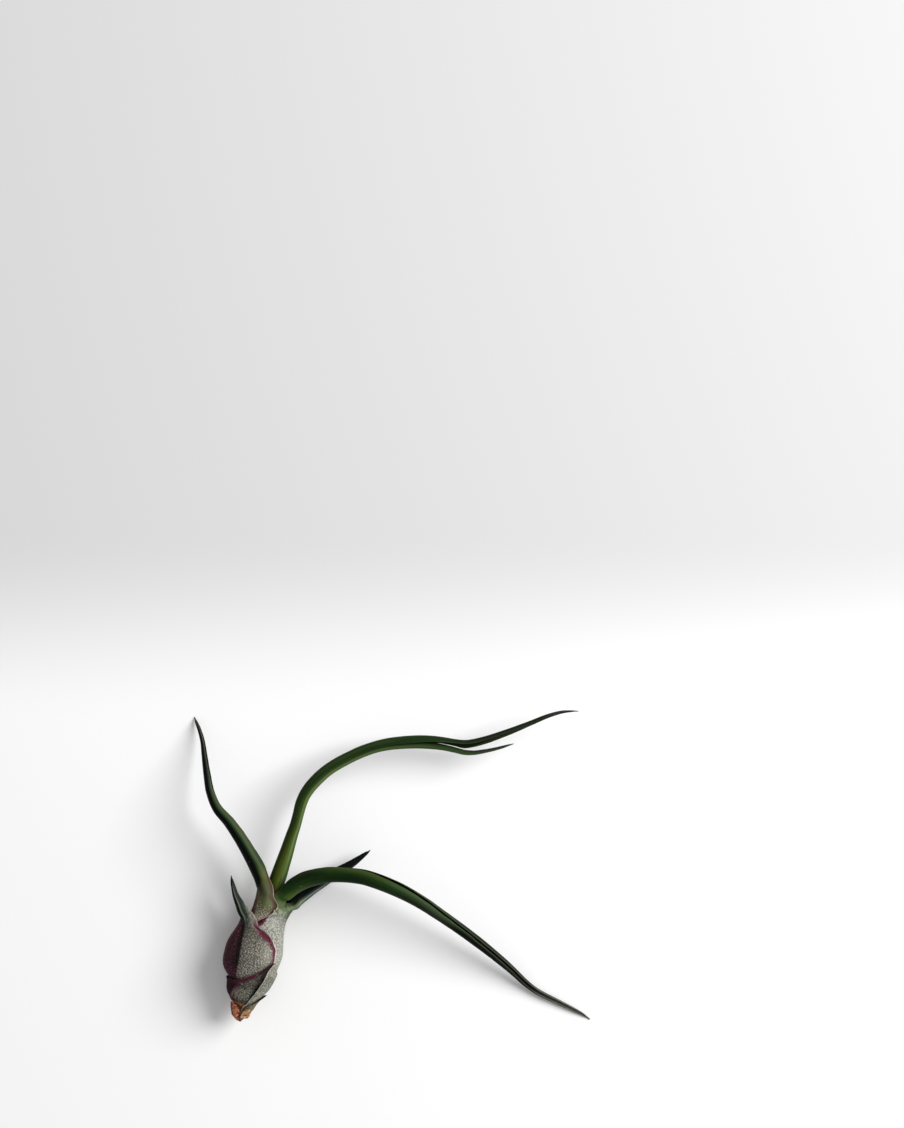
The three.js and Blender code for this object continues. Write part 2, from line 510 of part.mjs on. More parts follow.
// One leaf: a ribbon of even thickness, cupped across, following its midrib.
function leafGeometry(leaf) {
  const st = stationsOf(leaf), n = st.length;
  const x = [0];
  for (let i = 1; i < n; i++) x.push(x[i - 1] + st[i].P.distanceTo(st[i - 1].P));
  const rows = [];
  for (const key of ['P', 'T', 'M']) for (const c of ['x', 'y', 'z']) rows.push({ y: st.map((s) => s[key][c]), free: true });
  for (let c = 0; c < 6; c++) rows.push({ y: st.map((s) => s.q[c]), free: false });
  for (const r of rows) r.m = r.free ? freeSlopes(x, r.y) : monotoneSlopes(x, r.y);

  const sheathRows = leaf.sheath.length;
  const at = [x[0]];
  for (let k = 0; k < n - 1; k++) {
    const d = x[k + 1] - x[k], step = k < sheathRows ? leaf.step[0] : leaf.step[1];
    const parts = Math.max(1, Math.round(d / step));
    for (let j = 1; j <= parts; j++) {
      const v = x[k] + d * j / parts;
      if (v - at[at.length - 1] > 0.3 * step || (k === n - 2 && j === parts)) at.push(v);
    }
  }

  const m = leaf.across, pos = [], N = at.length;
  const ring = { outer: [], inner: [] };
  for (const v of at) {
    const g = rows.map((r) => hermite(x, r.y, r.m, v));
    const P = V(g[0], g[1], g[2]), T = V(g[3], g[4], g[5]).normalize(), M = V(g[6], g[7], g[8]);
    M.addScaledVector(T, -M.dot(T)).normalize();
    const S = new THREE.Vector3().crossVectors(M, T);
    const [kappa, wLo, wHi, tLo, tHi, wall] = g.slice(9);
    const R = 1 / kappa, O = P.clone().addScaledVector(M, -R);
    for (let j = 0; j < m; j++) {
      const w = -1 + 2 * j / (m - 1);
      const beta = (w < 0 ? w * wLo : w * wHi) * kappa;
      const rOut = R - (w < 0 ? tLo : tHi) * easeIn(Math.abs(w));
      const rIn = rOut - Math.min(wall, 0.8 * R) * (1 - MARGIN_THIN * Math.abs(w) ** 5);
      const dir = M.clone().multiplyScalar(Math.cos(beta)).addScaledVector(S, Math.sin(beta));
      ring.outer.push(O.clone().addScaledVector(dir, rOut));
      ring.inner.push(O.clone().addScaledVector(dir, rIn));
    }
  }
  for (const p of [...ring.outer, ...ring.inner]) pos.push(p.x, p.y, p.z);
  const o = (i, j) => i * m + j, q = (i, j) => N * m + i * m + j, idx = [];
  for (let i = 0; i < N - 1; i++) {
    for (let j = 0; j < m - 1; j++) {
      idx.push(o(i, j), o(i + 1, j), o(i + 1, j + 1), o(i, j), o(i + 1, j + 1), o(i, j + 1));
      idx.push(q(i, j), q(i + 1, j + 1), q(i + 1, j), q(i, j), q(i, j + 1), q(i + 1, j + 1));
    }
    idx.push(o(i, 0), q(i, 0), q(i + 1, 0), o(i, 0), q(i + 1, 0), o(i + 1, 0));
    const e = m - 1;
    idx.push(o(i, e), q(i + 1, e), q(i, e), o(i, e), o(i + 1, e), q(i + 1, e));
  }
  for (let j = 0; j < m - 1; j++) {
    idx.push(o(0, j), o(0, j + 1), q(0, j + 1), o(0, j), q(0, j + 1), q(0, j));
    const e = N - 1;
    idx.push(o(e, j), q(e, j + 1), o(e, j + 1), o(e, j), q(e, j), q(e, j + 1));
  }
  const geo = new THREE.BufferGeometry();
  geo.setAttribute('position', new THREE.Float32BufferAttribute(pos, 3));
  geo.setIndex(idx);
  geo.computeVertexNormals();
  return geo;
}

// The stem is turned about the bulb's axis.
function stemGeometry() {
  const profile = STEM.map(([u, r]) => new THREE.Vector2(r, u));
  const geo = new THREE.LatheGeometry(profile, 14);
  const p = geo.getAttribute('position');
  for (let i = 0; i < p.count; i++) {
    const a = axisPoint(p.getY(i)).addScaledVector(E1, p.getX(i)).addScaledVector(E2, p.getZ(i));
    p.setXYZ(i, a.x, a.y, a.z);
  }
  geo.computeVertexNormals();
  return geo;
}

// ------------------------------------------------------------------ assembly
const group = new THREE.Group();
function add(name, geometry, color, roughness) {
  const mesh = new THREE.Mesh(geometry, new THREE.MeshStandardMaterial({ color, roughness, metalness: 0 }));
  mesh.name = name;
  group.add(mesh);
}
add('stem', stemGeometry(), 0x6b3a22, 0.85);
for (const [name, leaf] of Object.entries(LEAVES)) add(name, leafGeometry(leaf), leaf.color, leaf.roughness);

export default group;
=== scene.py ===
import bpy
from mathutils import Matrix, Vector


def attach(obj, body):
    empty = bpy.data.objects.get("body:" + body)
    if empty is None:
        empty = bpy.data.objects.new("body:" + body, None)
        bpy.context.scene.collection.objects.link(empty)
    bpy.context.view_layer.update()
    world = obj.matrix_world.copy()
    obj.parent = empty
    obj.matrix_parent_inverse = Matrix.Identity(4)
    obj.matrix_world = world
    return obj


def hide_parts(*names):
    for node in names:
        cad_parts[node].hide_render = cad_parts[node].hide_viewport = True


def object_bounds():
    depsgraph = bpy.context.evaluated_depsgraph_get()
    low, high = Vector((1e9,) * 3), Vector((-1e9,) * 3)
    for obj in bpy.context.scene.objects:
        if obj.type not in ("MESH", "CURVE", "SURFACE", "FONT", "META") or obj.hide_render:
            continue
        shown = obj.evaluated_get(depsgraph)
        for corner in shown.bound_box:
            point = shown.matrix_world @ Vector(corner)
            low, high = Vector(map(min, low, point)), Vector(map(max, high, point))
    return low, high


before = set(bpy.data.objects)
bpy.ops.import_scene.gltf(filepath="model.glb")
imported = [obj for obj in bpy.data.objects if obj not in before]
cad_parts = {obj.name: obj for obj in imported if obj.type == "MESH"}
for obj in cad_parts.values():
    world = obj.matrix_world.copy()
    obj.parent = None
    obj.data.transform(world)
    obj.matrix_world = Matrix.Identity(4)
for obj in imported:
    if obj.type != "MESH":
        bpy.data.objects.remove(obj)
CAD_BOX = [list(v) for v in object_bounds()]

import math

import bpy
import numpy as np

# Bulbosa air plant lying on its side: the looks.
# Every leaf is lofted again from the dimensions that the CAD uses, much finer,
# with a rounded margin, waviness and veins, and wears a procedural material
# that reads a few coordinates of its own: along the leaf, across it, distance
# to the margin, painted masks for the maroon, crimson and brown zones, and painted shade and highlights.
MM = 0.001

# ------------------------------------------------------------- dimensions, mm
LEAF_WALL = 0.42
BLADE_WALL_SHARE = 0.6
BLADE_WALL_MAX = 0.52
MARGIN_THIN = 0.35
BULB_FOOT = [-54.31, -55.18, 8.59]
BULB_DIR = [0.25483, 0.96322, 0.08528]
BULB_BOW = [[-1.47, -0.22], [0, -0.37], [2.21, -0.63], [4.05, -0.63], [5.88, -0.74], [7.94, -1.1], [9.19, -1.18], [11.4, -0.96], [14.71, -0.96], [18.39, -1.25], [22.07, -1.32], [25.74, -1.25], [29.42, -1.14], [33.1, -0.88], [36.78, -0.51], [40.46, -0.11], [44.13, 0], [58.84, 0]]
STEM = [[-0.66, 0], [-0.63, 0.33], [-0.44, 0.51], [-0.15, 0.61], [0.37, 1.1], [1.1, 1.47], [2.21, 1.54], [3.31, 1.51], [4.05, 1.32], [5.15, 1.29], [9.56, 1.29], [13.98, 1.29], [15.08, 0.99], [15.81, 0.55], [16.18, 0]]
# sheath: [along the axis, radius, first margin deg, last margin deg, tucks]
# blade: [x, y, z, width, direction of the back deg, half angles of the roll]
LEAVES = {
    "dried_scale_front": {
        "sheath": [
            [-0.15, 1.32, 104, 186, 0, 0],
            [0.37, 2.06, 100, 186, 0, 0.15],
            [1.1, 2.87, 98, 186, 0, 0.33],
            [2.21, 3.64, 97, 186, 0, 0.59],
            [3.31, 4.12, 97, 185, 0, 0.66],
            [4.41, 4.6, 98, 180, 0, 0.74],
            [5.52, 5, 102, 171, 0, 0.74],
            [6.44, 5.15, 112, 150, 0, 0.4],
        ],
    },
    "dried_scale_right": {
        "sheath": [
            [1.84, 3.64, 34, 86, 0, 0],
            [2.94, 4.19, 37, 84, 0, 0],
            [4.05, 4.74, 42, 82, 0, 0],
            [5.15, 5.59, 48, 78, 0, 0],
            [6.25, 6.4, 56, 72, 0, 0],
        ],
    },
    "dried_scale_back": {
        "sheath": [
            [-0.07, 1.43, 196, 258, 0, 0],
            [0.55, 2.21, 195, 258, 0, 0],
            [1.47, 3.02, 194, 257, 0, 0],
            [2.94, 3.64, 195, 256, 0, 0],
            [4.05, 3.97, 200, 252, 0, 0],
            [4.97, 4.27, 212, 238, 0, 0],
        ],
    },
    "scale_outer_right": {
        "sheath": [
            [1.29, 2.43, -95, 92, 0, 0],
            [2.21, 2.91, -92, 88, 0, 0],
            [4.05, 3.6, -85, 82, 0, -0.11],
            [5.15, 4.12, -78, 76, 0, -0.44],
            [6.47, 4.71, -70, 70, 0, -0.81],
            [7.94, 5.55, -58, 60, 0, -0.77],
            [8.97, 6.22, -45, 50, 0, -0.7],
            [9.93, 6.8, -25, 32, 0, -0.37],
            [10.67, 7.28, -10, 18, 0, -0.15],
            [11.22, 7.69, -2, 10, 0, 0],
        ],
    },
    "sheath_lower_right": {
        "sheath": [
            [2.57, 2.28, -100, 110, 0, 0],
            [4.05, 2.87, -100, 98, 0, 0],
            [5.15, 3.38, -100, 90, 0, -0.37],
            [6.44, 3.9, -100, 82, 0, -0.85],
            [7.72, 4.56, -100, 70, 0, -0.92],
            [9.12, 5.37, -100, 67.5, 0, -0.92],
            [10.3, 6.18, -97, 66, 0, -0.66],
            [11.66, 7.06, -90, 64.5, 0, -0.44],
            [12.87, 7.8, -78, 63, 0, -0.51],
            [14.64, 8.46, -56, 60.8, 0, -0.66],
            [16.55, 9.12, -32, 58.8, 0, -0.96],
            [18.21, 9.6, -12, 57.2, 0, -1.21],
            [20.08, 9.93, 6, 55, 0, -1.29],
            [20.96, 10.08, 15, 53.5, 0, -1.03],
            [22.07, 10.3, 24, 51, 0, -0.51],
            [23.17, 10.41, 31.5, 47, 0, -0.18],
            [24.09, 10.48, 38.5, 42.5, 0, 0],
        ],
    },
    "scale_front": {
        "sheath": [
            [4.05, 2.02, 36, 166, 0, 0],
            [5.15, 2.76, 36, 160, 0.26, -0.18],
            [6.62, 4.05, 38, 152, 0.59, -0.44],
            [7.72, 4.82, 39, 148, 0.59, -0.59],
            [9.19, 5.88, 41, 140, 1.18, -0.7],
            [11.4, 6.99, 50, 130, 0.88, -0.7],
            [13.24, 7.87, 50.5, 121, 0.81, -0.44],
            [14.34, 8.39, 51, 116, 0.88, -0.07],
            [15.81, 9.42, 51.5, 121.5, 1.03, 0],
            [17.29, 10.37, 52, 104, 1.07, 0],
            [18.39, 10.81, 53.2, 95, 1.07, 0],
            [20.08, 11.4, 57.3, 83, 0.29, 0],
            [21.33, 11.59, 56, 75.5, 0.37, 0],
            [22.43, 11.7, 54.5, 67.5, 0.15, 0],
            [23.54, 11.77, 52.5, 61, 0, 0],
            [24.64, 11.81, 50, 55, 0, 0],
            [25.74, 11.77, 46, 47.5, 0, 0],
        ],
    },
    "sheath_lower_left": {
        "sheath": [
            [5.15, 2.02, 110, 256, 0, 0],
            [5.88, 2.72, 110, 256, 0.29, 0],
            [6.62, 3.53, 110, 256, 0.59, 0],
            [7.72, 4.85, 110, 256, 0.88, 0],
            [9.19, 6.18, 111, 256, 0.96, 0],
            [10.3, 6.88, 112, 256, 0.96, 0],
            [11.4, 7.32, 112, 256, 0.88, 0],
            [12.5, 7.54, 113, 256, 0.66, 0],
            [13.42, 7.76, 115, 256, 0.15, 0],
            [13.98, 7.98, 118, 205, 0, 0],
            [14.53, 8.24, 119.5, 174, 0, 0],
            [15.08, 8.5, 121.5, 153, 0, 0],
            [15.63, 8.86, 124, 140, 0, 0],
            [16.11, 9.19, 126.5, 131, 0, 0],
        ],
        "midrib": [[5.15, 183], [12.5, 182], [16.11, 128.5]],
    },
    "left_short_leaf": {
        "sheath": [
            [6.25, 2.02, 58, 250, 0, 0],
            [6.99, 2.65, 56, 250, 0, 0],
            [8.09, 3.6, 56, 250, 0, 0],
            [9.19, 4.38, 56, 250, 0.11, 0],
            [11.03, 5.59, 57, 249, 0.11, 0],
            [12.5, 6.25, 58, 248, 0.11, 0],
            [13.61, 6.58, 59, 247, 0.11, 0],
            [14.71, 7.02, 60, 246, 0.18, 0],
            [15.81, 8.09, 60, 246, 0.18, 0],
            [16.92, 9.05, 60, 246, 0.29, 0],
            [18.39, 10, 59, 246, 0.51, 0],
            [20.23, 10.59, 58, 246, 0.59, 0],
            [22.07, 10.81, 55, 246, 0.37, 0],
            [23.17, 10.85, 51, 246, 0.26, 0],
            [24.27, 10.89, 45.5, 246, 0.15, 0],
            [25.56, 10.85, 41.3, 246, 0.15, 0],
            [27.22, 10.67, 41, 245, 0.15, 0],
            [29.64, 10.11, 41.5, 242, 0.15, 0],
            [32, 9.45, 50, 236, 0.11, 0],
            [33.84, 9.01, 62, 230, 0.07, 0],
            [35.67, 8.9, 80, 222, 0.48, 0],
            [36.96, 9.05, 101, 214, 0.81, 0],
        ],
        "midrib": [[6.25, 124], [22.07, 124], [27.58, 133], [31.26, 141], [34.94, 154], [37.15, 157]],
        "blade": [
            [-52.81, -14.56, 14.54, 4.51, 150, 120, 120],
            [-54.43, -11.53, 15.14, 3.15, 150, 140, 140],
            [-55.6, -8.92, 15.34, 2.29, 148, 145, 145],
            [-56.41, -5.83, 15.44, 1.65, 146, 150, 150],
            [-56.91, -3.69, 15.44, 0.97, 146, 150, 150],
            [-57.13, -2.13, 15.34, 0.32, 146, 150, 150],
        ],
    },
    "right_short_leaf": {
        "sheath": [
            [7.54, 2.02, -150, 130, 0, 0],
            [8.46, 2.68, -148, 132, 0, 0],
            [9.56, 3.49, -147, 134, 0, 0],
            [11.03, 4.45, -146, 136, 0, 0],
            [12.5, 5.22, -145, 138, 0, 0],
            [14.71, 6.22, -144, 140, 0, 0],
            [15.81, 7.25, -143, 141, 0, 0],
            [16.92, 8.09, -143, 142, 0, 0],
            [18.39, 8.79, -142, 142, 0, 0],
            [20.23, 9.27, -141, 142, 0, 0],
            [22.07, 9.6, -140, 142, 0, 0],
            [24.27, 9.86, -138, 142, 0, 0],
            [26.48, 9.89, -136, 141, 0, 0],
            [29.42, 9.27, -132, 139, 0, 0],
            [32.36, 8.46, -127, 134, 0, 0],
            [34.57, 7.94, -122, 133, 0, 0],
            [36.78, 7.47, -116, 127, 0, 0.15],
            [38.98, 7.17, -109, 111, 0, 0.18],
            [41.19, 7.43, -100, 91, 0, 0.48],
            [43.03, 7.94, -90, 75, 0, 0.55],
        ],
        "midrib": [[6.99, -15], [22.07, -18], [36.78, -22], [43.03, -27]],
        "blade": [
            [-35.93, -13.22, 9.34, 5.26, -16, 122, 122],
            [-33.19, -10.7, 8.84, 5.27, 16, 146, 146],
            [-29.98, -8.43, 8.34, 4.91, 23.5, 148.5, 148.5],
            [-25.7, -5.76, 7.34, 4.41, 21, 143, 143],
            [-19.79, -2.1, 6.34, 3.69, 22, 144, 144],
            [-14, 1.13, 5.64, 2.72, 21.5, 146.5, 146.5],
            [-11.01, 3.25, 5.24, 1.85, 21, 149, 149],
            [-9.06, 4.67, 5.04, 1.16, 20, 150, 150],
            [-7.8, 5.66, 4.84, 0.33, 20, 150, 150],
        ],
    },
    "left_long_leaf": {
        "sheath": [
            [8.83, 2.21, 10, 290, 0, 0],
            [10.3, 2.91, 10, 290, 0, 0],
            [11.77, 3.75, 10, 290, 0, 0],
            [13.98, 4.93, 10, 290, 0, 0],
            [16.18, 6.18, 12, 288, 0, 0],
            [18.39, 7.32, 14, 286, 0, 0],
            [20.6, 8.24, 16, 284, 0, 0],
            [22.8, 8.86, 18, 282, 0, 0],
            [25.74, 9.16, 20, 280, 0, 0],
            [28.69, 8.75, 22, 278, 0, 0],
            [31.63, 7.98, 24, 276, 0, 0],
            [34.57, 7.17, 28, 272, 0, 0],
            [36.78, 6.58, 32, 268, 0, 0],
            [38.98, 6.33, 37, 264, 0, 0],
            [41.19, 6.18, 56, 260, 0.37, 0],
            [43.4, 6.18, 66, 256, 0.18, 0],
            [44.87, 6.11, 62, 252, 0.04, 0],
            [46.34, 6.18, 69, 248, 0.11, 0],
            [48.18, 6.36, 85, 246, 0.26, 0],
        ],
        "midrib": [[8.83, 150], [48.18, 152]],
        "blade": [
            [-45.57, -3.81, 15.84, 6.22, 148, 114, 114],
            [-48.25, 1.77, 15.84, 5.65, 153, 146, 134],
            [-51.23, 7.14, 16.14, 5, 155, 150, 150],
            [-54.39, 12.46, 16.74, 4.64, 157, 150, 150],
            [-57.94, 17.45, 16.94, 4.11, 160, 150, 150],
            [-61.94, 22.05, 16.54, 3.75, 168, 150, 150],
            [-64.58, 27.45, 14.94, 3.19, 180, 148, 148],
            [-66, 33.23, 12.54, 2.73, 190, 146, 146],
            [-67.25, 39.05, 9.34, 2.27, 196, 146, 146],
            [-68.46, 44.89, 5.74, 1.7, 200, 146, 146],
            [-70.17, 49.59, 2.84, 1.42, 202, 150, 150],
            [-71.29, 51.81, 1.34, 1.02, 202, 150, 150],
            [-72.04, 53.48, 0.16, 0.36, 202, 150, 150],
        ],
    },
    "right_long_leaf": {
        "sheath": [
            [10.67, 2.28, -170, 150, 0, 0],
            [12.14, 3.05, -170, 150, 0, 0],
            [13.98, 4.05, -170, 150, 0, 0],
            [16.18, 5.3, -170, 150, 0, 0],
            [18.39, 6.4, -170, 150, 0, 0],
            [21.33, 7.54, -169, 149, 0, 0],
            [24.27, 8.2, -168, 148, 0, 0],
            [26.85, 8.2, -167, 147, 0, 0],
            [29.42, 7.69, -166, 146, 0, 0],
            [32.36, 6.88, -165, 145, 0, 0],
            [35.31, 6.11, -163, 143, 0, 0],
            [38.25, 5.52, -160, 148, 0, 0],
            [41.19, 5.11, -155, 147, 0, 0],
            [44.13, 5.04, -125, 136, 0, 0],
            [46.71, 5, -92, 106, 0, 0],
        ],
        "midrib": [[10.67, -10], [46.71, -10]],
        "blade": [
            [-38.15, -7.29, 15.24, 8.01, 21, 83, 83],
            [-34.52, -5.13, 16.84, 6.78, 34, 106, 106],
            [-30.27, -3.08, 17.44, 6.42, 35.5, 121.5, 121.5],
            [-26.04, -1.91, 17.84, 6.13, 28, 132, 132],
            [-21.49, -1.23, 18.14, 5.88, 18.5, 140.5, 140.5],
            [-15.95, -1.31, 18.54, 5.7, 8.5, 148.5, 148.5],
            [-10.42, -2, 18.74, 5.59, -1.5, 153.5, 153.5],
            [-4.83, -3.69, 18.64, 5.52, -13, 158, 158],
            [3.24, -7.15, 17.84, 5.35, -28, 162, 162],
            [10.92, -11.62, 16.14, 4.86, -41, 165, 165],
            [18.23, -16.94, 13.74, 4.41, -53, 167, 167],
            [25.48, -22.43, 11.14, 4.06, -62, 168, 168],
            [32.57, -28.24, 8.54, 3.82, -68, 167, 167],
            [39.56, -34.29, 5.84, 3.33, -72, 164, 164],
            [44.09, -38.51, 4.14, 2.94, -76, 160, 160],
            [48.5, -42.88, 2.54, 2.54, -80, 154, 154],
            [52.02, -45.74, 1.69, 2.33, -83, 148, 148],
            [56.04, -48.06, 1.34, 2.26, -85, 142, 142],
            [61.34, -50.63, 1.04, 1.97, -87, 136, 136],
            [66.52, -53.23, 0.79, 1.49, -88, 132, 132],
            [69.56, -54.89, 0.54, 1.06, -90, 130, 130],
            [72.1, -56.67, 0.22, 0.4, -90, 130, 130],
        ],
    },
    "centre_leaf_outer": {
        "sheath": [
            [12.5, 2.21, 20, 300, 0, 0],
            [13.98, 3.02, 20, 300, 0, 0],
            [16.18, 4.27, 20, 300, 0, 0],
            [18.39, 5.44, 22, 298, 0, 0],
            [21.33, 6.62, 24, 296, 0, 0],
            [24.27, 7.28, 26, 294, 0, 0],
            [27.22, 7.17, 28, 292, 0, 0],
            [30.16, 6.51, 30, 290, 0, 0],
            [33.1, 5.7, 32, 290, 0, 0],
            [36.04, 5.04, 34, 290, 0, 0],
            [38.98, 4.63, 36, 290, 0, 0],
            [41.93, 4.38, 38, 290, 0, 0],
            [44.87, 3.82, 42, 290, 0, 0],
            [47.81, 3.35, 46, 288, 0, 0],
        ],
        "midrib": [[12.5, 160], [47.81, 158]],
        "blade": [
            [-41.12, -4.27, 13.34, 5.52, 178, 112, 112],
            [-40.02, -1.08, 13.64, 5.31, 178.3, 111.7, 111.7],
            [-38.89, 2.33, 13.94, 4.98, 178.6, 111.4, 111.4],
            [-37.76, 5.76, 14.14, 4.66, 178.9, 111.1, 111.1],
            [-36.64, 9.27, 14.34, 4.26, 179.1, 110.9, 110.9],
            [-35.52, 12.79, 14.44, 3.9, 179.3, 110.7, 110.7],
            [-34.38, 16.19, 14.44, 3.65, 179.5, 110.5, 110.5],
            [-33.45, 19.62, 14.34, 3.65, 179.7, 110.3, 110.3],
            [-32.56, 23.12, 14.24, 3.76, 179.9, 110.1, 110.1],
            [-31.21, 26.43, 14.09, 3.91, 180.3, 109.7, 109.7],
            [-29.25, 29.43, 13.94, 4.01, 181, 109, 109],
            [-26.79, 32.17, 13.74, 4.05, 181.5, 108.5, 108.5],
            [-24.12, 34.62, 13.49, 4.05, 182, 108, 108],
            [-21.23, 36.71, 13.24, 4.02, 182.5, 107.5, 107.5],
            [-18.12, 38.52, 13.04, 3.98, 182.9, 107.1, 107.1],
            [-14.97, 40.12, 12.84, 3.95, 183.3, 106.7, 106.7],
            [-11.78, 41.64, 12.64, 3.95, 183.8, 106.2, 106.2],
            [-8.45, 42.96, 12.49, 3.91, 184.2, 105.8, 105.8],
            [-4.94, 44.02, 12.34, 3.95, 184.5, 105.5, 105.5],
            [-1.39, 44.76, 12.19, 4.02, 184.7, 105.3, 105.3],
            [2.24, 45.21, 11.99, 4.17, 184.9, 105.1, 105.1],
            [5.86, 45.49, 11.84, 4.35, 185, 105, 105],
            [13.19, 45.68, 11.54, 4.1, 188, 100, 100],
            [18.58, 45.27, 11.29, 3.7, 195, 95, 95],
            [22.89, 44.75, 11.14, 3.31, 206, 102, 102],
            [26.89, 44.57, 11.09, 3.06, 231, 131, 131],
            [29.91, 45.03, 11.09, 2.95, 246, 149, 149],
            [32.75, 45.75, 11.09, 2.84, 254.5, 160.5, 160.5],
            [41.27, 48.64, 11.24, 2.41, 259, 167, 167],
            [49.64, 51.97, 11.54, 1.87, 258, 166, 166],
            [58, 55.3, 11.84, 1.44, 257, 163, 163],
            [61.41, 56.17, 11.94, 1.15, 256, 160, 160],
            [64.57, 56.46, 11.94, 0.75, 254, 156, 156],
            [67.23, 56.46, 11.94, 0.29, 254, 156, 156],
        ],
    },
    "centre_leaf_inner": {
        "sheath": [
            [13.98, 2.06, -165, 145, 0, 0],
            [15.81, 3.09, -165, 145, 0, 0],
            [18.39, 4.49, -165, 145, 0, 0],
            [21.33, 5.66, -164, 144, 0, 0],
            [24.27, 6.36, -163, 143, 0, 0],
            [27.22, 6.25, -162, 142, 0, 0],
            [30.16, 5.55, -162, 142, 0, 0],
            [33.1, 4.74, -162, 142, 0, 0],
            [36.04, 4.12, -162, 142, 0, 0],
            [38.98, 3.71, -162, 142, 0, 0],
            [41.93, 3.46, -162, 142, 0, 0],
            [44.87, 2.94, -162, 142, 0, 0],
            [47.81, 2.57, -162, 142, 0, 0],
        ],
        "midrib": [[13.98, -10], [47.81, -10]],
        "blade": [
            [-39.77, -4.76, 13.24, 3.34, -12, 150, 150],
            [-38.71, -1.56, 13.54, 3.23, -12, 150, 150],
            [-37.64, 1.89, 13.84, 3.05, -12, 150, 150],
            [-36.55, 5.36, 14.04, 2.87, -12, 150, 150],
            [-35.54, 8.89, 14.24, 2.65, -12, 150, 150],
            [-34.49, 12.42, 14.34, 2.44, -12, 150, 150],
            [-33.38, 15.89, 14.34, 2.29, -12, 150, 150],
            [-32.46, 19.35, 14.24, 2.29, -12, 150, 150],
            [-31.53, 22.75, 14.14, 2.36, -12, 150, 150],
            [-30.25, 25.92, 13.99, 2.44, -12, 150, 150],
            [-28.36, 28.73, 13.84, 2.51, -12, 150, 150],
            [-25.97, 31.33, 13.64, 2.51, -12, 150, 150],
            [-23.41, 33.75, 13.39, 2.51, -12, 150, 150],
            [-20.62, 35.77, 13.14, 2.51, -12, 150, 150],
            [-17.58, 37.54, 12.94, 2.48, -12, 150, 150],
            [-14.51, 39.14, 12.74, 2.44, -12, 150, 150],
            [-11.36, 40.59, 12.54, 2.44, -12, 150, 150],
            [-8.06, 41.91, 12.39, 2.44, -12, 150, 150],
            [-4.69, 42.94, 12.24, 2.44, -12, 150, 150],
            [-1.21, 43.63, 11.94, 2.51, -12, 150, 150],
            [2.37, 44.04, 11.74, 2.59, -12, 150, 150],
            [5.93, 44.28, 11.59, 2.7, -12, 150, 150],
            [13.18, 44.1, 11.14, 2.52, -14, 150, 150],
            [18.58, 43.39, 10.84, 2.3, -14, 150, 150],
            [22.9, 42.41, 10.64, 2.09, -14, 150, 150],
            [26.49, 41.53, 10.49, 1.94, -14, 150, 150],
            [29.81, 41.41, 10.34, 1.66, -14, 150, 150],
            [33.44, 41.94, 10.24, 1.44, -14, 150, 150],
            [36.98, 42.65, 10.14, 1.26, -14, 150, 150],
            [40.51, 43.58, 10.04, 0.97, -14, 150, 150],
            [42.56, 44.19, 9.99, 0.61, -14, 150, 150],
            [44.07, 44.62, 9.94, 0.25, -14, 150, 150],
        ],
    },
}
UNIT = 0.36778          # mm on the bulb's axis for one unit of the mask tables
CAMERA = [21.8155, 109.3400, 799.9400]     # mm

# --------------------------------------------------------------------- maths
A = np.array(BULB_DIR, float); A /= np.linalg.norm(A)
E1 = np.array([A[1], -A[0], 0.0]); E1 /= np.linalg.norm(E1)
E2 = np.cross(E1, A)
UP = np.array([0.0, 0.0, 1.0])
BOW = np.array(BULB_BOW, float)


def axis_point(u):
    return np.array(BULB_FOOT) + A * u + E1 * np.interp(u, BOW[:, 0], BOW[:, 1])


def around_run(T, deg):
    T = T / np.linalg.norm(T)
    R = np.cross(T, UP); R /= np.linalg.norm(R)
    U = np.cross(R, T)
    return math.cos(math.radians(deg)) * R + math.sin(math.radians(deg)) * U


def smooth(a, b, x):
    t = np.clip((np.asarray(x, float) - a) / (b - a), 0, 1)
    return t * t * (3 - 2 * t)


def value_noise(x, y, seed):
    x, y = np.broadcast_arrays(np.asarray(x, float), np.asarray(y, float))
    xi, yi = np.floor(x).astype(np.int64), np.floor(y).astype(np.int64)
    fx, fy = x - xi, y - yi
    fx = fx ** 3 * (fx * (fx * 6 - 15) + 10); fy = fy ** 3 * (fy * (fy * 6 - 15) + 10)

    def h(a, b):
        n = (a * 374761393 + b * 668265263 + seed * 974634777) & 0xFFFFFFFF
        n = ((n ^ (n >> 13)) * 1274126177) & 0xFFFFFFFF
        n = ((n ^ (n >> 15)) * 2246822519) & 0xFFFFFFFF
        return ((n ^ (n >> 16)) & 0xFFFFFFFF) / 2147483648.0 - 1.0

    return ((h(xi, yi) * (1 - fx) + h(xi + 1, yi) * fx) * (1 - fy)
            + (h(xi, yi + 1) * (1 - fx) + h(xi + 1, yi + 1) * fx) * fy)


def fbm(x, y, seed, octaves=3):
    s, a, t = 0.0, 1.0, 0.0
    for o in range(octaves):
        s = s + a * value_noise(np.asarray(x) * 2 ** o, np.asarray(y) * 2 ** o, seed + 17 * o)
        t += a; a *= 0.5
    return s / t


def free_slopes(x, Y):
    m = np.zeros_like(Y)
    h, d = np.diff(x)[:, None], np.diff(Y, axis=0) / np.diff(x)[:, None]
    m[0], m[-1] = d[0], d[-1]
    m[1:-1] = (d[:-1] * h[1:] + d[1:] * h[:-1]) / (h[:-1] + h[1:])
    return m


def monotone_slopes(x, Y):
    m = np.zeros_like(Y)
    h, d = np.diff(x)[:, None], np.diff(Y, axis=0) / np.diff(x)[:, None]
    w1, w2 = 2 * h[1:] + h[:-1], h[1:] + 2 * h[:-1]
    ok = d[:-1] * d[1:] > 0
    with np.errstate(divide="ignore", invalid="ignore"):
        mid = (w1 + w2) / (w1 / d[:-1] + w2 / d[1:])
    m[1:-1] = np.where(ok, mid, 0)
    m[0], m[-1] = d[0], d[-1]
    return m


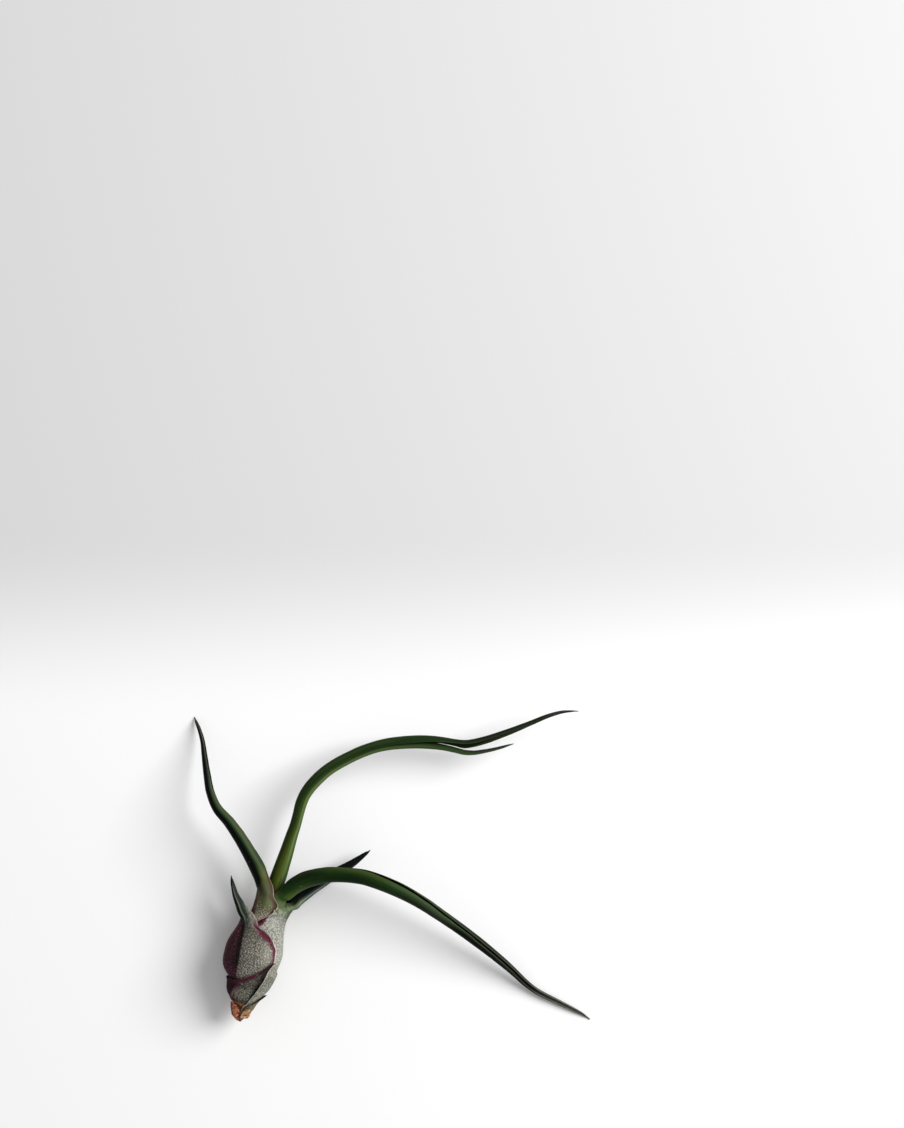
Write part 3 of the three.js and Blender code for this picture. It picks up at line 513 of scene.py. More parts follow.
def hermite(x, Y, m, q):
    k = np.clip(np.searchsorted(x, q, side="right") - 1, 0, len(x) - 2)
    h = (x[k + 1] - x[k])[:, None]; s = ((q - x[k]) / h[:, 0])[:, None]
    return ((2 * s ** 3 - 3 * s ** 2 + 1) * Y[k] + (s ** 3 - 2 * s ** 2 + s) * h * m[k]
            + (3 * s ** 2 - 2 * s ** 3) * Y[k + 1] + (s ** 3 - s ** 2) * h * m[k + 1])


def stations(leaf):
    P, T, M, Q, U = [], [], [], [], []
    for u, r, lo, hi, tl, th in leaf["sheath"]:
        mid = (lo + hi) / 2
        if "midrib" in leaf:
            t = np.array(leaf["midrib"], float); mid = np.interp(u, t[:, 0], t[:, 1])
        m = E1 * math.cos(math.radians(mid)) + E2 * math.sin(math.radians(mid))
        P.append(axis_point(u) + m * r); T.append(A); M.append(m); U.append(u)
        Q.append([1 / r, r * math.radians(mid - lo), r * math.radians(hi - mid), tl, th, LEAF_WALL, 0.0, mid])
    if "blade" in leaf:
        C = np.array([b[:3] for b in leaf["blade"]], float)
        for i, b in enumerate(leaf["blade"]):
            t = C[min(i + 1, len(C) - 1)] - C[0 if i == 0 else i - 1]; t /= np.linalg.norm(t)
            r = b[3] / 2; m = around_run(t, b[4])
            P.append(C[i] + m * r); T.append(t); M.append(m); U.append(U[-1] + np.linalg.norm(P[-1] - P[-2]))
            Q.append([1 / r, r * math.radians(b[5]), r * math.radians(b[6]), 0, 0, min(BLADE_WALL_MAX, BLADE_WALL_SHARE * r), 1.0, Q[-1][7]])
    else:
        Q[-1][5] *= 0.6; Q[-2][5] *= 0.8
    return np.array(P), np.array(T), np.array(M), np.array(Q), np.array(U)


def loft(name, leaf, ds, across, wave=0.06, wavelen=4.0, keel=0.0, ragged=0.0, crumple=0.0, seed=1):
    """Closed ribbon mesh with rounded margins. Returns vertices, quads/tris and per-vertex coordinates."""
    P0, T0, M0, Q0, U0 = stations(leaf)
    x = np.r_[0, np.cumsum(np.linalg.norm(np.diff(P0, axis=0), axis=1))]
    G0 = np.hstack([P0, T0, M0]); L = x[-1]
    n = max(12, int(round(L / ds)))
    q = np.linspace(0, L, n)
    q = np.unique(np.r_[q, L - np.geomspace(0.05, 2.0, 10)]); n = len(q)
    G = hermite(x, G0, free_slopes(x, G0), q)
    Q = hermite(x, Q0, monotone_slopes(x, Q0), q)
    U = np.interp(q, x, U0)
    P, T, M = G[:, :3], G[:, 3:6], G[:, 6:9]
    T /= np.linalg.norm(T, axis=1)[:, None]
    M -= T * (T * M).sum(1)[:, None]; M /= np.linalg.norm(M, axis=1)[:, None]
    S = np.cross(M, T)
    kap, wl, wh, tl, th, wall, blade, mid = [Q[:, i] for i in range(8)]
    R = 1 / kap; O = P - R[:, None] * M
    # margins waver a little, more where the leaf is wide
    fade = smooth(0, 2.5, q) * smooth(0, 6, L - q)
    wl = wl * (1 + fade * (0.018 * fbm(q / 3.1, 0.3, seed) + ragged * fbm(q / 0.8, 4.3, seed + 5)))
    wh = wh * (1 + fade * (0.018 * fbm(q / 3.1, 7.7, seed + 1) + ragged * fbm(q / 0.8, 9.1, seed + 6)))
    t = np.linspace(-1, 1, across)
    w = 0.45 * t + 0.55 * np.sin(math.pi / 2 * t)
    W = np.where(w[None] < 0, wl[:, None], wh[:, None])
    av = w[None] * W
    beta = av * kap[:, None]
    aw = np.abs(w)[None]
    ease = smooth(0.25, 1, aw)
    rout = R[:, None] - np.where(w[None] < 0, tl[:, None], th[:, None]) * ease
    wv = wave * fbm(q[:, None] / wavelen, av / (wavelen * 0.6), seed + 2) * fade[:, None] * smooth(0.0, 0.9, R)[:, None]
    wv = wv + crumple * (fbm(q[:, None] / 1.5, av / 1.1, seed + 3, 4) + 0.5 * np.abs(fbm(q[:, None] / 0.9, av / 0.5, seed + 4, 3)))
    if keel:
        k = keel * smooth(2, 14, U / UNIT - 50)[:, None] * (1 - blade[:, None] * 0.6)
        wv = wv + k * np.exp(-(av / 0.85) ** 2) * np.minimum(1, R[:, None] / 3)
    rout = rout + wv
    high = wv / max(1e-6, float(np.abs(wv).max()))
    tk = np.minimum(wall, 0.8 * R)[:, None] * (1 - MARGIN_THIN * aw ** 5)
    rin = rout - tk

    def put(r, b):
        return O[:, None] + r[..., None] * (np.cos(b)[..., None] * M[:, None] + np.sin(b)[..., None] * S[:, None])

    outer, inner = put(rout, beta), put(rin, beta)
    half = 0.42 * tk
    e_hi = put((rout - tk / 2)[:, -1:], beta[:, -1:] + half[:, -1:] / np.maximum(rout[:, -1:], 0.05))
    e_lo = put((rout - tk / 2)[:, :1], beta[:, :1] - half[:, :1] / np.maximum(rout[:, :1], 0.05))
    loop = np.concatenate([outer, e_hi, inner[:, ::-1], e_lo], axis=1)
    k = loop.shape[1]
    # distance to the nearer margin, square to the margin
    slope_l = np.gradient(wl, q); slope_h = np.gradient(wh, q)
    dl = (1 + w[None]) * 0 + (av + wl[:, None]) / np.sqrt(1 + slope_l ** 2)[:, None]
    dh = (wh[:, None] - av) / np.sqrt(1 + slope_h ** 2)[:, None]
    dl, dh = np.maximum(dl, 0), np.maximum(dh, 0)
    top = (L - q)[:, None] + 0 * av
    if "blade" not in leaf:
        dl, dh = np.minimum(dl, top), np.minimum(dh, top)

    def ring(a, el, eh):
        return np.concatenate([a, eh, a[:, ::-1], el], axis=1)

    z = np.zeros((n, 1))
    nz = np.cos(beta) * M[:, 2:3] + np.sin(beta) * S[:, 2:3]
    right = np.cross(T, UP); right /= np.linalg.norm(right, axis=1)[:, None]
    sd = np.cos(beta) * (M * right).sum(1)[:, None] + np.sin(beta) * (S * right).sum(1)[:, None]
    phi = np.degrees(np.arctan2(nz, sd)); phi = np.where(phi < -90, phi + 360, phi)
    co = {
        "al": ring(q[:, None] + 0 * av, z + q[:, None], z + q[:, None]),
        "av": ring(av, av[:, :1], av[:, -1:]),
        "wn": ring(w[None] + 0 * av, z - 1, z + 1),
        "dl": ring(dl, z, dl[:, -1:]),
        "dh": ring(dh, dh[:, :1], z),
        "bl": ring(blade[:, None] + 0 * av, z + blade[:, None], z + blade[:, None]),
        "tp": ring(top, z + (L - q)[:, None], z + (L - q)[:, None]),
        "ph": ring(phi, phi[:, :1], phi[:, -1:]),
        "uu": ring(U[:, None] / UNIT + 0 * av, z + U[:, None] / UNIT, z + U[:, None] / UNIT),
        "nz": ring(nz, nz[:, :1], nz[:, -1:]),
        "sd": ring(sd, sd[:, :1], sd[:, -1:]),
        "ht": ring(high, high[:, :1], high[:, -1:]),
        "inn": np.concatenate([np.zeros((n, across)), z + 0.5, np.ones((n, across)), z + 0.5], axis=1),
    }
    V = loop.reshape(-1, 3)
    i, j = np.meshgrid(np.arange(n - 1), np.arange(k), indexing="ij")
    j2 = (j + 1) % k
    F = np.stack([i * k + j, (i + 1) * k + j, (i + 1) * k + j2, i * k + j2], -1).reshape(-1, 4)
    m = across
    caps = []
    for ri, flip in ((0, False), (n - 1, True)):
        b = ri * k
        for a in range(m - 1):      # strips between the outer row and the inner row
            f = [b + a, b + a + 1, b + (2 * m - 1 - a), b + (2 * m - a)]
            f = [f[0], f[1], b + 2 * m - a - 1, b + 2 * m - a]
            caps.append(f if not flip else f[::-1])
        caps.append([b + m - 1, b + m, b + m + 1] if not flip else [b + m + 1, b + m, b + m - 1])
        caps.append([b, b + 2 * m, b + 2 * m + 1] if not flip else [b + 2 * m + 1, b + 2 * m, b])
    return V, F, caps, {a: c.reshape(-1) for a, c in co.items()}


# ---------------------------------------------------------------- node helper
class Nodes:
    """A short way to write shader nodes."""

    def __init__(self, name):
        self.mat = bpy.data.materials.new(name)
        self.mat.use_nodes = True
        self.t = self.mat.node_tree
        self.t.nodes.clear()
        self.out = self.t.nodes.new("ShaderNodeOutputMaterial")
        self.x = 0

    def new(self, kind):
        n = self.t.nodes.new(kind); self.x += 40; n.location = (self.x, 0)
        return n

    def put(self, socket, v):
        if hasattr(v, "is_output"):
            self.t.links.new(v, socket)
        else:
            socket.default_value = v if not isinstance(v, (tuple, list)) or len(v) != 3 or socket.type != "RGBA" else (*v, 1.0)

    def attr(self, name):
        n = self.new("ShaderNodeAttribute"); n.attribute_name = name
        return n.outputs["Fac"]

    def math(self, op, a, b=0.0, c=None, clamp=False):
        n = self.new("ShaderNodeMath"); n.operation = op; n.use_clamp = clamp
        self.put(n.inputs[0], a); self.put(n.inputs[1], b)
        if c is not None:
            self.put(n.inputs[2], c)
        return n.outputs[0]

    def mul(self, *v):
        r = v[0]
        for k in v[1:]:
            r = self.math("MULTIPLY", r, k)
        return r

    def add(self, a, b, clamp=False):
        return self.math("ADD", a, b, clamp=clamp)

    def sub(self, a, b):
        return self.math("SUBTRACT", a, b)

    def inv(self, a):
        return self.math("SUBTRACT", 1.0, a, clamp=True)

    def step(self, v, lo, hi, a=0.0, b=1.0, kind="SMOOTHSTEP"):
        """a where v is at lo, b where it is at hi, smooth between."""
        n = self.new("ShaderNodeMapRange"); n.interpolation_type = kind; n.clamp = True
        flip = not hasattr(lo, "is_output") and not hasattr(hi, "is_output") and lo > hi
        if flip:
            lo, hi, a, b = hi, lo, b, a
        for s, x in zip((0, 1, 2, 3, 4), (v, lo, hi, a, b)):
            self.put(n.inputs[s], x)
        return n.outputs[0]

    def vec(self, x, y, z):
        n = self.new("ShaderNodeCombineXYZ")
        for s, v in zip(n.inputs, (x, y, z)):
            self.put(s, v)
        return n.outputs[0]

    def noise(self, v, scale=1.0, detail=2.0, rough=0.5, distortion=0.0):
        n = self.new("ShaderNodeTexNoise"); self.put(n.inputs["Vector"], v)
        n.inputs["Scale"].default_value = scale; n.inputs["Detail"].default_value = detail
        n.inputs["Roughness"].default_value = rough; n.inputs["Distortion"].default_value = distortion
        return n.outputs["Fac"]

    def cells(self, v, scale=1.0, feature="F1", out="Distance", rnd=1.0):
        n = self.new("ShaderNodeTexVoronoi"); n.feature = feature; self.put(n.inputs["Vector"], v)
        n.inputs["Scale"].default_value = scale; n.inputs["Randomness"].default_value = rnd
        return n.outputs[out]

    def mix(self, f, a, b, blend="MIX"):
        n = self.new("ShaderNodeMix"); n.data_type = "RGBA"; n.blend_type = blend; n.clamp_factor = True
        self.put(n.inputs[0], f); self.put(n.inputs[6], a); self.put(n.inputs[7], b)
        return n.outputs[2]

    def bump(self, height, distance, strength=1.0, normal=None):
        n = self.new("ShaderNodeBump"); n.inputs["Strength"].default_value = strength
        n.inputs["Distance"].default_value = distance
        self.put(n.inputs["Height"], height)
        if normal is not None:
            self.put(n.inputs["Normal"], normal)
        return n.outputs[0]

    def finish(self, colour, roughness, normal, level=0.3, sheen=0.0, sheen_rough=0.4, sheen_tint=(1, 1, 1), coat=0.0, subsurface=0.0):
        b = self.new("ShaderNodeBsdfPrincipled")
        self.put(b.inputs["Base Color"], colour); self.put(b.inputs["Roughness"], roughness)
        self.put(b.inputs["Normal"], normal)
        b.inputs["Specular IOR Level"].default_value = level
        b.inputs["Sheen Weight"].default_value = sheen
        b.inputs["Sheen Roughness"].default_value = sheen_rough
        b.inputs["Sheen Tint"].default_value = (*sheen_tint, 1)
        b.inputs["Coat Weight"].default_value = coat
        self.t.links.new(b.outputs[0], self.out.inputs[0])
        self.bsdf = b
        return self.mat


def lin(r, g, b):
    """An 8-bit display colour as linear light."""
    f = lambda c: (c / 12.92 if c <= 0.04045 else ((c + 0.055) / 1.055) ** 2.4)
    return tuple(f(v / 255) for v in (r, g, b))


# ------------------------------------------------------------------ materials
def leaf_material(name, seed, dark, light, blade, blade_hi, olive, maroon, band, edge, dry,
                  dense=1.0, level=0.05, gloss=0.42, highlight_tone=None, painted_rim_sheen=0.0, tip_tone=(0.050, 0.048, 0.042)):
    g = Nodes(name)
    al, av, inn, zn = g.attr("al"), g.attr("av"), g.attr("inn"), g.attr("zn")
    mar, oli, dry_m, tip = g.attr("mar"), g.attr("oli"), g.attr("dry"), g.attr("tip")
    dn, bw, ew, wd, nz = g.attr("dn"), g.attr("bw"), g.attr("ew"), g.attr("wd"), g.attr("nz")
    drk, painted_highlight, brn = g.attr("drk"), g.attr("painted_highlight"), g.attr("brn")
    highlight_tone = highlight_tone or tuple(min(1, c * 1.9 + 0.01) for c in blade_hi)
    p = g.vec(av, g.mul(al, 0.75), g.add(g.mul(inn, 9.0), seed * 3.7))
    broad = g.noise(p, 0.20, 3.0, 0.55)
    mid = g.noise(p, 0.80, 3.0, 0.6)
    grain = g.noise(p, 1.9, 2.0, 0.7)
    fine = g.noise(p, 3.4, 2.0, 0.6)
    ribs = g.noise(g.vec(g.mul(av, 1.7), g.mul(al, 0.10), seed * 1.9), 1.0, 3.0, 0.6)
    # silvery scale hairs: worm-like flecks with small pale discs between them
    warp = g.vec(g.add(av, g.mul(g.sub(fine, 0.5), 0.35)), g.add(g.mul(al, 0.8), g.mul(g.sub(mid, 0.5), 0.5)), g.add(g.mul(inn, 9.0), seed * 2.3))
    cover = g.add(g.add(0.585 - 0.135 * dense, g.mul(g.sub(broad, 0.5), -0.25)), g.mul(g.attr("thin"), 0.10))
    worm = g.noise(warp, 1.75, 1.5, 0.55)
    worm = g.step(g.sub(worm, cover), -0.035, 0.075)
    r1 = 0.22 + 0.20 * dense
    small = g.mul(g.step(g.cells(warp, 2.1), r1, r1 * 0.3), g.step(g.cells(warp, 2.1, out="Color"), 0.15, 0.85, 0.15, 1.0))
    big = g.mul(g.step(g.cells(warp, 1.2), r1 * 0.9, r1 * 0.3), g.step(g.cells(warp, 1.2, out="Color"), 0.40, 0.8, 0.0, 1.0))
    hairs = g.math("MAXIMUM", g.math("MAXIMUM", g.mul(small, 0.6), g.mul(worm, 0.85)), big)
    hairs = g.mul(hairs, g.step(fine, 0.30, 0.58, 0.35, 1.0))
    ground = g.mix(g.step(grain, 0.35, 0.70, 0.0, 0.30 + 0.30 * dense), dark, light)
    ground = g.mix(g.step(ribs, 0.35, 0.7, 0.0, 0.25), ground, tuple(c * 0.35 for c in dark))
    mar_m = g.step(g.add(mar, g.mul(g.sub(mid, 0.5), 0.34)), 0.16, 0.86)
    ground = g.mix(mar_m, ground, g.mix(g.step(grain, 0.35, 0.65, 0.0, 0.6), maroon, tuple(c * 0.35 for c in maroon)))
    scurf = g.mix(g.mul(mar_m, 0.75), light, tuple(min(1, 1.9 * a + 0.16 * b) for a, b in zip(maroon, light)))
    sheath = g.mix(g.mul(hairs, g.step(mar_m, 0.0, 1.0, 0.95, 0.36)), ground, scurf)
    # painted sheen: the sheen mask lightens the silver hairs where the light catches them
    sheath = g.mix(g.mul(g.attr("painted_sheen"), g.step(hairs, 0.0, 0.6, 0.45, 1.0)), sheath, tuple(min(1, c * 1.12 + 0.02) for c in light))
    # painted rim sheen: where the surface turns away from the top the hairs are lightened, as grazing light shows them
    sheath = g.mix(g.mul(g.step(nz, 0.40, 0.05), painted_rim_sheen), sheath, g.mix(mar_m, tuple(c * 0.8 for c in light), tuple(min(1, 2.4 * a + 0.22 * b) for a, b in zip(maroon, light))))
    # rolled blade: smooth green with faint long streaks
    long_ = g.noise(g.vec(g.mul(av, 1.3), g.mul(al, 0.03), seed * 4.1), 1.0, 4.0, 0.55)
    very = g.noise(g.vec(g.mul(av, 5.0), g.mul(al, 0.14), seed * 5.3), 1.0, 2.0, 0.6)
    patch = g.noise(g.vec(g.mul(av, 0.3), g.mul(al, 0.08), seed * 7.7), 1.0, 2.0)
    bc = g.mix(g.step(long_, 0.3, 0.72), blade, blade_hi)
    bc = g.mix(g.step(patch, 0.35, 0.7, 0.0, 0.35), bc, tuple(c * 0.6 for c in blade))
    bc = g.mix(g.mul(oli, g.step(long_, 0.2, 0.8, 0.75, 1.0)), bc, olive)
    bc = g.mix(g.mul(brn, g.step(patch, 0.2, 0.8, 0.6, 1.0)), bc, dry)
    gry = g.attr("gry")
    bc = g.mix(gry, bc, g.mix(g.step(long_, 0.3, 0.72), (0.012, 0.012, 0.010), (0.024, 0.024, 0.020)))
    # painted highlight: the highlight mask lightens a band of each blade toward the highlight tone, greyer where the
    # leaf is grey
    bc = g.mix(g.mul(painted_highlight, g.step(long_, 0.2, 0.75, 0.65, 1.0)), bc, g.mix(gry, highlight_tone, (0.088, 0.090, 0.078)))
    bc = g.mix(g.step(very, 0.55, 0.8, 0.0, 0.22), bc, tuple(min(1, c * 1.8 + 0.006) for c in blade_hi))
    # painted shade: the dark mask darkens the blade's sides turned from the light and the parts under other leaves,
    # together with the real dark tips
    bc = g.mix(drk, bc, tuple(c * 0.10 + 0.0006 for c in blade))
    spot = g.vec(av, g.mul(al, 0.8), seed * 9.1)
    dots = g.mul(g.step(g.cells(spot, 1.15), 0.15, 0.07), g.step(g.cells(spot, 1.15, out="Color"), 0.90, 0.94))
    dust = g.mul(g.step(g.cells(g.vec(av, g.mul(al, 0.7), seed * 6.1), 2.8), 0.30, 0.10), g.step(grain, 0.50, 0.74, 0.0, 0.09), g.inv(drk))
    bc = g.mix(dust, bc, light)
    bc = g.mix(g.mul(dots, 0.5), bc, lin(205, 206, 190))
    zone = g.step(g.add(zn, g.mul(g.sub(g.add(g.mul(mid, 0.5), g.mul(worm, -0.35)), 0.15), 0.55)), 0.10, 0.90)
    col = g.mix(zone, sheath, bc)
    # margin band and thin pale edge
    jag = g.noise(g.vec(g.mul(al, 1.1), g.mul(av, 0.6), seed * 1.3), 1.0, 3.0, 0.6)
    d = g.add(dn, g.add(g.mul(g.sub(jag, 0.5), 0.7), g.mul(g.sub(grain, 0.5), 1.3)))
    b_m = g.mul(bw, g.step(g.math("DIVIDE", d, wd), 1.30, 0.50))
    b_m = g.mul(b_m, g.step(hairs, 0.3, 1.0, 1.0, 0.78))
    col = g.mix(b_m, col, g.mix(g.step(g.add(g.mul(jag, 0.5), g.mul(grain, 0.5)), 0.36, 0.62), band, tuple(c * 0.40 for c in band)))
    e_m = g.mul(g.math("MINIMUM", ew, 1.0), g.step(g.sub(g.add(dn, g.mul(g.sub(fine, 0.5), 0.24)), g.mul(ew, 0.22)), 0.14, -0.06))
    col = g.mix(e_m, col, edge)
    # painted lines: a pale ridge line that is a painted highlight (pale marks on the front scale), and dark lines and
    # patches that are painted shade in creases, under margins and between parts, with some dark marks of the leaf's own
    col = g.mix(g.mul(g.attr("ridge_highlight_and_pale_marks"), g.step(very, 0.25, 0.6, 0.6, 1.0)), col, light)
    col = g.mix(g.mul(g.attr("shade_lines_and_dark_marks"), g.step(hairs, 0.2, 1.0, 1.0, 0.75)), col, tuple(c * 0.12 for c in dark))
    # the inner face is plainer and darker
    col = g.mix(g.mul(inn, 0.6), col, g.mix(0.5, tuple(c * 0.4 for c in blade), tuple(c * 0.4 for c in dark)))
    # dry brown tips and patches
    dm = g.step(g.add(dry_m, g.mul(g.sub(mid, 0.5), 0.5)), 0.22, 0.78)
    col = g.mix(dm, col, g.mix(g.step(fine, 0.35, 0.7), dry, tuple(c * 0.35 for c in dry)))
    tm = g.step(g.add(tip, g.mul(g.sub(very, 0.5), 0.4)), 0.15, 0.9)
    col = g.mix(tm, col, g.mix(g.step(very, 0.30, 0.7), tuple(c * 0.45 for c in tip_tone), tip_tone))
    rough = g.add(g.step(zone, 0.0, 1.0, 0.78, gloss), g.mul(g.sub(mid, 0.5), 0.16))
    h = g.add(g.mul(hairs, g.inv(zone), 1.0), g.add(g.mul(ribs, 0.35), g.mul(very, 0.4)))
    n1 = g.bump(h, 0.00014, 0.8)
    n2 = g.bump(g.add(broad, g.mul(mid, 0.5)), 0.0003, 0.5, n1)
    return g.finish(col, rough, n2, level=level)


def dry_material(name, seed, a, b, ridge_and_shade_tone, hollow_shade):
    g = Nodes(name)
    al, av, inn, ht = g.attr("al"), g.attr("av"), g.attr("inn"), g.attr("ht")
    p = g.vec(av, g.mul(al, 0.7), g.add(g.mul(inn, 4.0), seed * 3.1))
    broad = g.noise(p, 0.55, 4.0, 0.6, 0.4)
    mid = g.noise(p, 1.7, 4.0, 0.65, 0.5)
    fibre = g.noise(g.vec(g.mul(av, 3.4), g.mul(al, 0.35), seed * 1.7), 1.0, 4.0, 0.65)
    crack = g.step(g.cells(g.vec(g.add(av, g.mul(mid, 0.7)), g.mul(al, 0.55), seed * 2.9), 1.15, feature="DISTANCE_TO_EDGE"), 0.0, 0.10, 1.0, 0.0)
    fold = g.noise(g.vec(g.mul(av, 0.95), g.mul(al, 0.55), seed * 4.3), 1.0, 2.0, 0.5, 0.8)
    col = g.mix(g.step(broad, 0.40, 0.60), a, b)
    col = g.mix(g.step(fibre, 0.35, 0.72, 0.0, 0.45), col, tuple(min(1, c * 1.6 + 0.03) for c in a))
    col = g.mix(g.step(fold, 0.50, 0.60), col, ridge_and_shade_tone)
    # painted shade: the side turned to the left, away from the light, is darkened toward the ridge tone
    col = g.mix(g.step(g.add(g.attr("sd"), g.mul(g.sub(mid, 0.5), 0.8)), -0.45, -0.95, 0.0, 0.8), col, ridge_and_shade_tone)
    col = g.mix(g.step(fold, 0.44, 0.30, 0.0, 0.75), col, tuple(min(1, c * 1.45 + 0.06) for c in a))
    # painted shade: low places of the crumple take the dark hollow tone
    col = g.mix(g.step(ht, -0.10, -0.60), col, hollow_shade)
    col = g.mix(g.mul(crack, g.step(mid, 0.4, 0.7)), col, tuple(c * 0.25 for c in ridge_and_shade_tone))
    col = g.mix(g.mul(g.step(mid, 0.60, 0.78), 0.5), col, lin(214, 176, 136))
    # painted shade: the inner face takes the dark hollow tone
    col = g.mix(g.mul(inn, 0.5), col, hollow_shade)
    h = g.add(g.mul(fibre, 0.7), g.add(g.mul(mid, 0.8), g.mul(crack, -0.7)))
    n = g.bump(h, 0.0003, 0.9)
    return g.finish(col, g.step(mid, 0.3, 0.7, 0.62, 0.86), n, level=0.25, sheen=0.05)


# -------------------------------------------------------------------- meshing
def make_object(name, V, F, caps, co, mat):
    me = bpy.data.meshes.new(name)
    faces = [tuple(int(v) for v in f) for f in F] + [tuple(int(v) for v in f) for f in caps]
    me.from_pydata([tuple(v) for v in (V * MM)], [], faces)
    me.validate(clean_customdata=False)
    for k, v in co.items():
        a = me.attributes.new(k, "FLOAT", "POINT")
        a.data.foreach_set("value", np.ascontiguousarray(v, dtype=np.float32))
    me.shade_smooth()
    me.materials.append(mat)
    ob = bpy.data.objects.new(name, me)
    bpy.context.scene.collection.objects.link(ob)
    return ob


def window(x, a, b, s):
    return smooth(a - s, a + s, x) * (1 - smooth(b - s, b + s, x))


def hump(x, c, s):
    return np.exp(-((np.asarray(x, float) - c) / s) ** 2)


